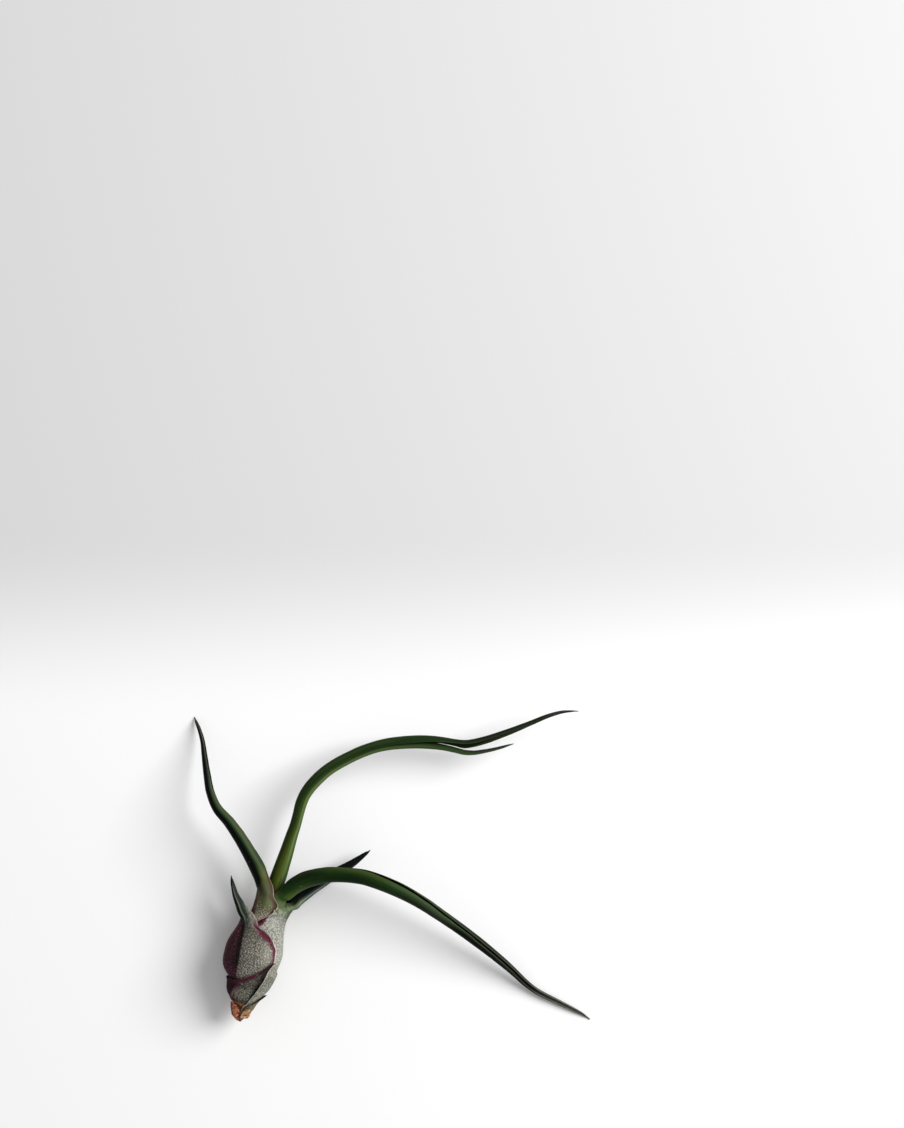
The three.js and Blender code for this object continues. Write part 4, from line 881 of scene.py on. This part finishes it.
# ---------------------------------------------------------------- painted masks
def paint(name, c):
    """Masks over the outer face: u runs along the leaf, ph is the side it faces (0 right, 90 up, 180 left), sd the same as -1..1."""
    # The sheen, highlight and ridge masks are painted highlights; the two dark masks are painted shade, with some real
    # dark tips and marks; the other masks are the leaf's own colours.
    u, ph, av, wn, sd, nz = c["uu"], c["ph"], c["av"], c["wn"], c["sd"], c["nz"]
    dl, dh, tp, al = c["dl"], c["dh"], c["tp"], c["al"]
    z = np.zeros_like(u)
    m = {k: z for k in ("zn", "mar", "oli", "dry", "tip", "drk", "ridge_highlight_and_pale_marks", "shade_lines_and_dark_marks", "bw", "ew", "painted_highlight", "brn", "painted_sheen", "thin", "gry")}
    m["wd"] = z + 1.0
    m["dn"] = np.minimum(dl, dh)
    blotch = fbm(al / 2.6, av / 2.0, 91 + len(name), 3)
    left = smooth(0.15, -0.55, sd)
    up = smooth(-0.2, 0.4, nz)
    if name == "left_short_leaf":
        keel = np.interp(u, [40, 46.7, 58.6, 68.5, 77.8, 87, 92.9, 98.4, 103.9, 116], [112, 112.2, 113.4, 115.3, 119.6, 125, 131.4, 136.6, 141.1, 144])
        over = ph - keel
        side = smooth(-3, 5, over)
        m["mar"] = side * (1 - 0.35 * smooth(45, 80, over)) + 0.55 * (1 - smooth(39, 46, u)) + 0.06
        m["shade_lines_and_dark_marks"] = (0.93 * window(over, -1, 13, 3.5) * (1 - 0.35 * smooth(4, 16, over)) + 0.30 * hump(over, -6, 5) + 0.28 * window(over, 14, 40, 9) * window(u, 50, 80, 8) * (0.6 + 0.8 * smooth(-0.2, 0.4, blotch))) * smooth(50, 64, u) * (1 - smooth(112, 118, u))
        # the silver climbs higher in the middle than at the keel
        rw = np.interp(u, [95, 101, 106, 113, 121, 131, 139], [-0.30, -0.34, -0.35, -0.38, -0.38, -0.34, -0.34])
        m["zn"] = smooth(91, 104, u + 24 * np.clip(wn - rw, -0.6, 0.0))
        m["dn"] = np.where(wn < 0, dl, dh)
        m["bw"] = np.where(wn < 0, window(u, 44, 101.5, 1.2) * (0.6 + 0.4 * smooth(58, 66, u)), 0.35 * window(u, 30, 104, 5))
        m["bw"] = m["bw"] * (1 - smooth(94, 98, u) * smooth(-0.82, -0.72, wn))
        m["wd"] = np.interp(u, [46, 60, 72, 80, 88, 94, 99, 102], [1.5, 1.4, 1.6, 2.0, 2.5, 3.0, 3.0, 2.0])
        m["ew"] = 1.8 * window(u, 58, 90, 5) + 0.45 * window(u, 100, 116, 3)
        m["painted_sheen"] = 0.75 * np.exp(-(((u - 78) / 15) ** 2 + ((ph - 62) / 13) ** 2)) + 0.35 * smooth(-0.58, -0.70, wn) * window(u, 97, 105, 2)
        m["drk"] = smooth(rw + 0.035, rw + 0.11, wn) * smooth(95, 101, u) + 0.7 * smooth(4, 0.5, tp) + 0.35 * window(wn, -0.75, rw - 0.05, 0.08) * smooth(100, 106, u)
        m["ridge_highlight_and_pale_marks"] = 0.50 * hump(wn, rw, 0.045) * smooth(95, 101, u) * smooth(2, 6, tp)
        m["painted_highlight"] = 0.35 * hump(wn, rw - 0.10, 0.07) * smooth(98, 108, u) * smooth(1, 5, tp) + 0.55 * smooth(-0.78, -0.95, wn) * smooth(100, 106, u)
        m["thin"] = 0.6 * smooth(84, 98, u)
        m["gry"] = 0.6 * smooth(112, 126, u)
        m["tip"] = 0.35 * (1 - smooth(0.5, 2.5, tp))
    elif name == "right_short_leaf":
        crim = smooth(80, 95, ph) * window(u, 99, 114, 2) * smooth(3.0, 1.5, dh)
        m["mar"] = 0.65 * crim + 0.25 * smooth(0.2, 0.6, blotch) * left + 0.8 * smooth(104, 112, ph) * window(u, 95, 103, 1.5)
        m["zn"] = smooth(108, 124, u - 7 * smooth(60, 95, ph) * smooth(118, 110, u) + 10 * smooth(45, 5, ph))
        m["oli"] = 0.9 * window(u, 108, 134, 10) * (1 - 0.7 * smooth(45, 15, ph))
        m["dn"] = np.where(wn > 0, dh, dl)
        m["bw"] = np.where(wn > 0, window(u, 98, 114, 2) * (0.05 + 0.95 * smooth(78, 92, ph)), 0.3 * window(u, 70, 118, 6))
        m["wd"] = 0.5 + 2.1 * smooth(78, 100, ph)
        m["ew"] = 0.75 * window(u, 70, 118, 3)
        m["painted_sheen"] = 0.16 * window(ph, -20, 70, 22) * window(u, 52, 100, 10) + 0.40 * window(ph, 45, 92, 12) * window(u, 101, 112, 3)
        m["thin"] = 0.15 * smooth(92, 112, u)
        blade = smooth(114, 126, u)
        m["drk"] = blade * (0.98 * smooth(64, 80, ph) + 0.60 * hump(ph, 22, 12) + 0.75 * smooth(2, -14, ph) + 0.6 * smooth(160, 180, u)) + 0.7 * smooth(9, 2, tp)
        m["painted_highlight"] = blade * 0.22 * hump(ph, 62, 10) * smooth(3, 14, tp) * (1 - smooth(150, 180, u))
        m["ridge_highlight_and_pale_marks"] = 0.50 * hump(ph, 46, 9) * smooth(118, 134, u) * (1 - smooth(150, 175, u))
        m["gry"] = 0.85 * smooth(150, 180, u)
        m["tip"] = 0.30 * (1 - smooth(0.5, 3.0, tp))
    elif name == "left_long_leaf":
        m["zn"] = smooth(106, 138, u - 4 * smooth(118, 140, ph) + 7 * hump(ph, 108, 22) + 4 * smooth(140, 170, ph))
        m["thin"] = 0.8 * smooth(108, 122, u)
        m["mar"] = 0.95 * smooth(132, 156, ph) * (1 - smooth(122, 134, u)) + 0.35 * smooth(0.0, 0.4, blotch) * (1 - smooth(112, 128, u)) * smooth(100, 140, ph)
        m["oli"] = window(u, 100, 150, 10) * (1 - 0.6 * smooth(125, 155, ph))
        m["dn"] = np.where(wn < 0, dl, dh)
        m["bw"] = np.where(wn < 0, window(u, 103, 147, 4) * (1 - 0.3 * smooth(130, 144, u)), 0.5 * window(u, 100, 130, 6))
        m["wd"] = np.interp(u, [106, 112, 120, 128, 136, 148], [0.6, 1.7, 2.0, 1.8, 1.3, 0.8])
        m["ew"] = 0.45 * window(u, 98, 144, 3) + 1.25 * window(u, 100, 121, 4)
        m["ridge_highlight_and_pale_marks"] = 0.14 * hump(sd, -0.08, 0.34) * window(u, 119, 137, 6)
        m["painted_sheen"] = 0.28 * window(u, 96, 110, 4) * smooth(150, 110, ph)
        c0 = np.interp(u, [131, 148, 183, 217, 268, 300], [0.55, 0.52, 0.58, 0.55, 0.80, 0.6])
        blade = smooth(124, 146, u)
        m["painted_highlight"] = blade * up * np.interp(u, [131, 165, 217, 268, 300], [0.62, 0.66, 0.46, 0.62, 0.8]) * hump(sd, c0, 0.26) + 0.90 * hump(sd, -0.08, 0.34) * window(u, 119, 138, 6)
        m["drk"] = blade * (0.97 * smooth(c0 - 0.32, c0 - 1.0, sd) + 0.40 * smooth(c0 + 0.25, c0 + 0.42, sd) * smooth(160, 210, u)) + 0.45 * smooth(100, 160, u) * blade * smooth(0.3, -0.1, sd)
        m["gry"] = 0.85 * smooth(210, 275, u)
        m["brn"] = 0.45 * smooth(0.55, 0.9, sd) * smooth(150, 190, u)
        m["tip"] = 0.7 * (1 - smooth(1, 9, tp))
    elif name == "right_long_leaf":
        m["zn"] = smooth(94, 112, u)
        c0 = np.interp(u, [127, 138, 151, 176, 192, 224, 248, 298, 322, 372, 404, 445], [0.25, 0.60, 0.90, 0.9, -1.0, -1.0, -0.95, -0.35, -0.42, -0.4, -0.3, -0.2])
        w0 = np.interp(u, [127, 138, 151, 176, 192, 224, 248, 298, 372, 445], [1.0, 0.60, 0.34, 0.25, 0.35, 0.6, 0.75, 0.80, 0.40, 0.6])
        a0 = np.interp(u, [127, 151, 170, 184, 192, 224, 248, 298, 322, 372, 445], [1.35, 0.60, 0.15, 0.0, 0.12, 0.22, 0.36, 0.50, 0.08, 0.05, 0.3])
        m["oli"] = 0.9 * (1 - smooth(150, 200, u)) * smooth(0.2, 0.8, sd) + 0.5 * window(u, 200, 300, 20) * smooth(-0.1, -0.6, sd) + 0.9 * (1 - smooth(130, 146, u))
        m["painted_highlight"] = up * a0 * hump(sd, c0, w0) * smooth(3, 12, tp)
        m["dry"] = 0.35 * smooth(136, 128, u) * smooth(0.3, -0.4, sd)
        m["drk"] = smooth(215, 270, u) * (0.35 + 0.5 * smooth(270, 320, u)) * smooth(-0.2, 0.6, sd) * (1 - 0.5 * window(u, 286, 312, 8)) + 0.35 * window(u, 322, 372, 10) + 0.75 * smooth(-0.35, -0.85, sd) * window(u, 132, 150, 8) + 0.5 * smooth(0.2, -0.5, sd) * window(u, 134, 180, 12) + 0.45 * window(u, 168, 232, 18) * smooth(-0.8, -0.2, sd)
        m["brn"] = 0.45 * smooth(-0.55, -0.85, sd) * window(u, 150, 235, 18)
        m["gry"] = 0.45 * smooth(230, 300, u) + 0.40 * smooth(330, 400, u)
        m["ridge_highlight_and_pale_marks"] = 0.10 * hump(m["dn"], 0.15, 0.18) * smooth(300, 330, u) * smooth(2, 10, tp) + 0.10 * window(u, 118, 134, 5)
        m["shade_lines_and_dark_marks"] = 0.35 * hump(sd, -0.70, 0.08) * window(u, 314, 352, 8)
        m["tip"] = 0.95 * (1 - smooth(12, 34, tp))
        m["ew"] = 0.25 * smooth(112, 124, u) * (1 - smooth(150, 180, u))
    elif name == "centre_leaf_outer":
        m["zn"] = smooth(94, 112, u)
        m["oli"] = (1 - smooth(160, 250, u)) * smooth(-0.95, -0.2, sd)
        m["painted_highlight"] = up * (0.42 * hump(sd, 0.42, 0.36) * (1 - smooth(165, 215, u)) + 0.50 * hump(sd, 0.0, 0.14) * window(u, 395, 430, 9) + 0.16 * hump(sd, -0.45, 0.25) * window(u, 255, 345, 14))
        # painted shade: dark lines between the two centre leaves
        m["shade_lines_and_dark_marks"] = 0.45 * hump(sd, 0.10, 0.10) * window(u, 250, 372, 16) + 0.5 * hump(sd, 0.30, 0.08) * window(u, 380, 470, 12)
        m["drk"] = 0.40 * smooth(-0.80, -0.98, sd) * smooth(128, 150, u) + 0.42 * window(u, 176, 268, 22) * smooth(0.5, -0.1, sd) + 0.30 * smooth(250, 280, u) + 0.35 * smooth(380, 420, u) * smooth(0.25, 0.9, np.abs(sd)) + 0.7 * window(u, 120, 134, 3) * smooth(0.55, -0.2, sd)
        m["gry"] = 0.8 * smooth(385, 430, u)
        m["tip"] = 0.85 * (1 - smooth(2, 20, tp))
        m["ew"] = 0.15 * smooth(112, 130, u)
    elif name == "centre_leaf_inner":
        m["zn"] = smooth(94, 112, u)
        m["oli"] = 0.6 * (1 - smooth(150, 220, u))
        a0 = np.interp(u, [130, 150, 169, 190, 210, 260, 310, 350, 400], [0.65, 0.95, 1.2, 1.1, 0.95, 0.85, 0.60, 0.42, 0.3])
        m["painted_highlight"] = up * a0 * hump(sd, np.interp(u, [130, 170, 210, 270], [0.0, 0.1, 0.35, 0.5]), 0.5)
        m["drk"] = 0.30 * smooth(0.75, 0.98, np.abs(sd)) * smooth(120, 160, u)
        m["gry"] = 0.7 * smooth(385, 425, u)
        m["tip"] = 0.8 * (1 - smooth(1, 9, tp))
    elif name == "scale_front":
        m["mar"] = 0.98 * smooth(100, 122, ph) + 0.30 * smooth(0.0, 0.5, blotch) + 0.75 * (1 - smooth(15, 25, u))
        top = smooth(30, 40, u)
        m["dn"] = np.where(wn > 0, dh, dl)
        m["bw"] = np.where(wn > 0, (0.95 - 0.2 * smooth(52, 60, u)) * top, 0.0)
        m["wd"] = z + 2.5
        m["ew"] = np.where(wn > 0, 0.25 * top, 0.0)
        # painted shadow cast by the margin of the sheath beside it, and a dark line near the foot
        shade = np.interp(u, [20, 30, 38, 45, 52, 58], [76, 76, 76, 76, 76, 74])
        m["shade_lines_and_dark_marks"] = 0.88 * smooth(shade + 6, shade - 14, ph) * smooth(18, 30, u) + 0.40 * window(u, 20, 24, 1.2)
        m["tip"] = 1.1 * smooth(20.8, 18.6, u)
        m["dry"] = 0.9 * smooth(59, 64, u)
        m["thin"] = 0.2 + 0.5 * smooth(50, 62, u)
        m["ridge_highlight_and_pale_marks"] = 0.50 * smooth(0.05, 0.45, fbm(av / 0.32, al / 3.5, 31, 2)) * window(ph, 78, 128, 10) * (1 - smooth(30, 42, u)) * smooth(17, 22, u)
    elif name == "sheath_lower_right":
        m["dn"] = np.where(wn > 0, dh, dl)
        m["bw"] = np.where(wn > 0, 0.12 + 0.5 * smooth(60, 70, u), 0.3)
        m["wd"] = z + 0.6
        m["ew"] = np.where(wn > 0, 0.62, 0.4) + z
        m["painted_sheen"] = 0.10 * window(ph, -10, 62, 16) * window(u, 44, 62, 8) + 0.36 * window(ph, 5, 66, 12) * window(u, 18, 40, 5)
        m["thin"] = 0.25 * smooth(50, 30, u)
        m["shade_lines_and_dark_marks"] = 0.22 * window(ph, 60, 110, 10) * window(u, 20, 60, 8)
        # painted light: the dry tint is stronger on the left side, turned from the light, which lifts the shade there
        m["dry"] = (0.5 + 0.6 * left) * (1 - smooth(13, 18, u)) + 0.22 * (1 - smooth(14, 28, u)) * smooth(-0.1, 0.4, blotch)
    elif name == "scale_outer_right":
        m["dn"] = np.where(wn > 0, dh, dl)
        m["bw"] = np.where(wn > 0, smooth(17, 23, u), 0.6 * smooth(17, 23, u))
        m["wd"] = z + 1.3
        m["ew"] = 0.25 + z
        # painted light: the dry tint is stronger on the left side, turned from the light, which lifts the shade there
        m["dry"] = (0.5 + 0.6 * left) * (1 - smooth(10, 16, u)) + 0.22 * smooth(0.1, 0.5, blotch)
    elif name == "sheath_lower_left":
        m["mar"] = 1.0 + z
        m["dn"] = dh
        m["bw"] = 0.8 * smooth(34, 40, u) + z
        m["wd"] = z + 1.6
        m["ew"] = 0.15 + z
        # painted shade over the whole sheath, which lies in shadow
        m["shade_lines_and_dark_marks"] = 0.35 + 0.3 * smooth(0.0, 0.4, blotch)
    m["dry"] = np.clip(m["dry"], 0, 1)
    return {k: np.clip(np.asarray(v, float) + z, 0, 9) for k, v in m.items()}


# --------------------------------------------------------------------- pieces
LOOK = dict(
    left_short_leaf=dict(seed=1, dark=(0.050, 0.047, 0.036), light=(0.370, 0.351, 0.300), blade=(0.010, 0.026, 0.015), blade_hi=(0.020, 0.040, 0.023), highlight_tone=(0.095, 0.115, 0.085),
                         olive=(0.10, 0.14, 0.06), maroon=(0.052, 0.011, 0.023), band=(0.118, 0.020, 0.042), edge=(0.52, 0.42, 0.40), dry=(0.20, 0.10, 0.05), dense=0.34, painted_rim_sheen=0.42),
    right_short_leaf=dict(seed=2, dark=(0.100, 0.102, 0.076), light=(0.475, 0.475, 0.42), blade=(0.007, 0.020, 0.015), blade_hi=(0.018, 0.042, 0.032), highlight_tone=(0.055, 0.095, 0.080),
                          olive=(0.12, 0.16, 0.070), maroon=(0.085, 0.022, 0.032), band=(0.105, 0.010, 0.028), edge=(0.56, 0.40, 0.36), dry=(0.2, 0.1, 0.05), dense=0.78, painted_rim_sheen=0.12),
    left_long_leaf=dict(seed=3, dark=(0.085, 0.072, 0.038), light=(0.50, 0.46, 0.36), blade=(0.006, 0.019, 0.007), blade_hi=(0.012, 0.032, 0.012), highlight_tone=(0.080, 0.116, 0.040),
                        olive=(0.078, 0.082, 0.022), maroon=(0.10, 0.048, 0.036), band=(0.064, 0.024, 0.014), edge=(0.55, 0.42, 0.34), dry=(0.12, 0.10, 0.05), dense=0.45, painted_rim_sheen=0.1),
    right_long_leaf=dict(seed=4, dark=(0.05, 0.07, 0.03), light=(0.36, 0.38, 0.29), blade=(0.006, 0.021, 0.003), blade_hi=(0.011, 0.034, 0.005), highlight_tone=(0.050, 0.095, 0.018),
                         olive=(0.034, 0.060, 0.010), maroon=(0.1, 0.03, 0.03), band=(0.12, 0.05, 0.03), edge=(0.22, 0.30, 0.14), dry=(0.060, 0.055, 0.022), dense=0.4, tip_tone=(0.135, 0.140, 0.115)),
    centre_leaf_outer=dict(seed=5, dark=(0.05, 0.07, 0.03), light=(0.34, 0.40, 0.20), blade=(0.012, 0.032, 0.006), blade_hi=(0.020, 0.050, 0.009), highlight_tone=(0.105, 0.160, 0.040),
                           olive=(0.044, 0.056, 0.004), maroon=(0.1, 0.03, 0.03), band=(0.12, 0.05, 0.03), edge=(0.16, 0.22, 0.08), dry=(0.10, 0.06, 0.03), dense=0.4),
    centre_leaf_inner=dict(seed=6, dark=(0.05, 0.07, 0.03), light=(0.30, 0.34, 0.2), blade=(0.008, 0.020, 0.005), blade_hi=(0.014, 0.034, 0.008),
                           olive=(0.04, 0.07, 0.010), highlight_tone=(0.115, 0.180, 0.048), maroon=(0.1, 0.03, 0.03), band=(0.12, 0.05, 0.03), edge=(0.14, 0.2, 0.08), dry=(0.10, 0.06, 0.03), dense=0.4),
    scale_front=dict(seed=7, dark=(0.030, 0.030, 0.018), light=(0.34, 0.33, 0.27), blade=(0.02, 0.03, 0.015), blade_hi=(0.03, 0.05, 0.02),
                     olive=(0.08, 0.09, 0.04), maroon=(0.060, 0.018, 0.028), band=(0.085, 0.010, 0.032), edge=(0.30, 0.16, 0.18), dry=(0.024, 0.013, 0.010), dense=0.30, painted_rim_sheen=0.1, tip_tone=(0.50, 0.200, 0.085)),
    sheath_lower_right=dict(seed=8, dark=(0.056, 0.058, 0.037), light=(0.42, 0.42, 0.355), blade=(0.02, 0.03, 0.015), blade_hi=(0.03, 0.05, 0.02),
                            olive=(0.08, 0.09, 0.04), maroon=(0.08, 0.03, 0.035), band=(0.16, 0.06, 0.06), edge=(0.62, 0.60, 0.52), dry=(0.66, 0.34, 0.17), dense=0.50, painted_rim_sheen=0.1),
    scale_outer_right=dict(seed=9, dark=(0.085, 0.076, 0.040), light=(0.32, 0.295, 0.20), blade=(0.02, 0.03, 0.015), blade_hi=(0.03, 0.05, 0.02),
                           olive=(0.08, 0.09, 0.04), maroon=(0.08, 0.03, 0.035), band=(0.050, 0.018, 0.022), edge=(0.28, 0.2, 0.15), dry=(0.62, 0.31, 0.14), dense=0.55),
    sheath_lower_left=dict(seed=10, dark=(0.03, 0.018, 0.02), light=(0.20, 0.15, 0.15), blade=(0.02, 0.03, 0.015), blade_hi=(0.03, 0.05, 0.02),
                           olive=(0.08, 0.09, 0.04), maroon=(0.036, 0.009, 0.016), band=(0.07, 0.009, 0.024), edge=(0.2, 0.1, 0.11), dry=(0.2, 0.1, 0.05), dense=0.4, painted_rim_sheen=0.1),
)
MESH = dict(
    left_short_leaf=dict(ds=0.30, across=110, wave=0.10, wavelen=5.0, keel=0.32),
    right_short_leaf=dict(ds=0.34, across=96, wave=0.08, wavelen=5.0),
    left_long_leaf=dict(ds=0.40, across=72, wave=0.07, wavelen=4.0),
    right_long_leaf=dict(ds=0.45, across=72, wave=0.07, wavelen=6.0),
    centre_leaf_outer=dict(ds=0.45, across=64, wave=0.05, wavelen=6.0),
    centre_leaf_inner=dict(ds=0.50, across=52, wave=0.03, wavelen=6.0),
    scale_front=dict(ds=0.22, across=90, wave=0.09, wavelen=4.0, ragged=0.006),
    sheath_lower_right=dict(ds=0.24, across=110, wave=0.07, wavelen=4.5, ragged=0.004),
    scale_outer_right=dict(ds=0.20, across=70, wave=0.07, wavelen=3.0, ragged=0.012),
    sheath_lower_left=dict(ds=0.25, across=80, wave=0.06, wavelen=3.0, ragged=0.006),
    dried_scale_front=dict(ds=0.13, across=60, wave=0.05, wavelen=2.0, ragged=0.03, crumple=0.34),
    dried_scale_right=dict(ds=0.13, across=44, wave=0.05, wavelen=2.0, ragged=0.03, crumple=0.30),
    dried_scale_back=dict(ds=0.13, across=56, wave=0.05, wavelen=2.0, ragged=0.03, crumple=0.18),
)
DRY = dict(
    dried_scale_front=dict(seed=11, a=(0.62, 0.235, 0.100), b=(0.38, 0.095, 0.036), ridge_and_shade_tone=(0.21, 0.038, 0.016), hollow_shade=(0.070, 0.024, 0.012)),
    dried_scale_right=dict(seed=12, a=(0.64, 0.390, 0.210), b=(0.46, 0.240, 0.110), ridge_and_shade_tone=(0.30, 0.110, 0.050), hollow_shade=(0.080, 0.032, 0.016)),
    dried_scale_back=dict(seed=13, a=(0.42, 0.180, 0.082), b=(0.27, 0.100, 0.045), ridge_and_shade_tone=(0.24, 0.075, 0.036), hollow_shade=(0.070, 0.026, 0.014)),
)
LO = np.array(CAD_BOX[0]) / MM + 0.02
HI = np.array(CAD_BOX[1]) / MM - 0.02

for number, (node, dims) in enumerate(LEAVES.items()):
    V, F, caps, co = loft(node, dims, seed=100 + 13 * number, **MESH[node])
    V = np.clip(V, LO, HI)
    if node in DRY:
        mat = dry_material("m_" + node, **DRY[node])
    else:
        co.update(paint(node, co))
        mat = leaf_material("m_" + node, **LOOK[node])
    keep = ["al", "av", "inn"] + (["ht", "sd"] if node in DRY else ["zn", "mar", "oli", "dry", "tip", "drk", "ridge_highlight_and_pale_marks", "shade_lines_and_dark_marks", "bw", "ew", "wd", "dn", "nz", "painted_highlight", "brn", "painted_sheen", "thin", "gry"])
    ob = make_object("v_" + node, V, F, caps, {k: co[k] for k in keep}, mat)
    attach(ob, "root")
    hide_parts(node)

# ------------------------------------------------------- stem, the broken core
rows = np.array(STEM, float)
su = np.unique(np.r_[np.linspace(rows[0, 0], rows[-1, 0], 120), rows[1:-1, 0]])[1:-1]
sr = np.interp(su, rows[:, 0], rows[:, 1])
ang = np.linspace(0, 2 * math.pi, 49)[:-1]
Uu, An = np.meshgrid(su, ang, indexing="ij")
noise = 0.05 * fbm(Uu / 0.6, np.cos(An) * 1.4 + 3, 71, 3) + 0.05 * fbm(Uu / 2.0, np.sin(An) * 2.3 + 9, 72, 3)
Rr = sr[:, None] * (1 + noise - 0.05)
C = np.array([axis_point(v) for v in su])
V = C[:, None] + Rr[..., None] * (np.cos(An)[..., None] * E1 + np.sin(An)[..., None] * E2)
V = np.concatenate([V.reshape(-1, 3), [axis_point(rows[0, 0]), axis_point(rows[-1, 0])]])
n, k = len(su), len(ang)
i, j = np.meshgrid(np.arange(n - 1), np.arange(k), indexing="ij")
F = np.stack([i * k + j, i * k + (j + 1) % k, (i + 1) * k + (j + 1) % k, (i + 1) * k + j], -1).reshape(-1, 4)
caps = [[n * k, (j + 1) % k, j] for j in range(k)] + [[n * k + 1, (n - 1) * k + j, (n - 1) * k + (j + 1) % k] for j in range(k)]
al = np.r_[Uu.reshape(-1), rows[0, 0], rows[-1, 0]]
av = np.r_[(Rr * An).reshape(-1), 0, 0]
ht = np.r_[(noise / 0.1).reshape(-1), 0, 0]
ob = make_object("v_stem", np.clip(V, LO, HI), F, caps, dict(al=al, av=av, inn=al * 0, ht=ht, sd=np.r_[np.cos(An).reshape(-1), 0, 0]),
                 dry_material("m_stem", 14, a=(0.24, 0.13, 0.07), b=(0.13, 0.065, 0.035), ridge_and_shade_tone=(0.18, 0.07, 0.04), hollow_shade=(0.03, 0.013, 0.009)))
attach(ob, "root"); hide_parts("stem")

# ------------------------------------------------------------ floor and lights
scene = bpy.context.scene
me = bpy.data.meshes.new("floor")
s = 4.0
me.from_pydata([(-s, -s, 0), (s, -s, 0), (s, s, 0), (-s, s, 0)], [], [(0, 1, 2, 3)])
floor = bpy.data.objects.new("floor", me)
scene.collection.objects.link(floor)
g = Nodes("pale_floor")
geo = g.new("ShaderNodeNewGeometry")
sep = g.new("ShaderNodeSeparateXYZ")
g.put(sep.inputs[0], geo.outputs["Position"])
# painted shade: the floor darkens toward the back, standing in for the light falling off
falloff_shade = g.step(sep.outputs[1], 0.050, 0.122)
tone = g.mix(falloff_shade, (0.88, 0.88, 0.88), (0.63, 0.63, 0.63))
grain = g.noise(geo.outputs["Position"], 900.0, 2.0, 0.5)
tone = g.mix(g.step(grain, 0.3, 0.7, 0.0, 0.02), tone, (0.7, 0.7, 0.7))
me.materials.append(g.finish(tone, 0.9, g.bump(grain, 0.00002, 0.1), level=0.1))

world = bpy.data.worlds.new("studio")
scene.world = world
world.use_nodes = True
nt = world.node_tree
bg = nt.nodes["Background"]
bg.inputs["Color"].default_value = (1.0, 1.0, 1.0, 1)
bg.inputs["Strength"].default_value = 0.46


def area(name, az, el, dist, size, power, target=(0.0, 0.0, 0.01)):
    d = np.array([math.cos(math.radians(el)) * math.cos(math.radians(az)), math.cos(math.radians(el)) * math.sin(math.radians(az)), math.sin(math.radians(el))])
    li = bpy.data.lights.new(name, "AREA")
    li.shape = "DISK"; li.size = size; li.energy = power
    o = bpy.data.objects.new(name, li)
    o.location = np.array(target) + d * dist
    z = d; x = np.cross([0, 0, 1.0], z); x /= np.linalg.norm(x); y = np.cross(z, x)
    from mathutils import Matrix
    o.rotation_euler = Matrix([x, y, z]).transposed().to_euler()
    scene.collection.objects.link(o)
    return o


area("key", 27.0, 37.5, 1.6, 1.05, 31.5, target=(-0.02, -0.01, 0.01))

cam = bpy.data.cameras.new("photo_view")
cam.sensor_fit = "AUTO"; cam.sensor_width = 36.0; cam.lens = 70.0
cam.clip_start = 0.05; cam.clip_end = 20.0
cam.dof.use_dof = False
co_ = bpy.data.objects.new("photo_view", cam)
co_.location = [v * MM for v in CAMERA]
co_.rotation_euler = (0, 0, 0)
scene.collection.objects.link(co_)
scene.camera = co_
scene.view_settings.view_transform = "Standard"
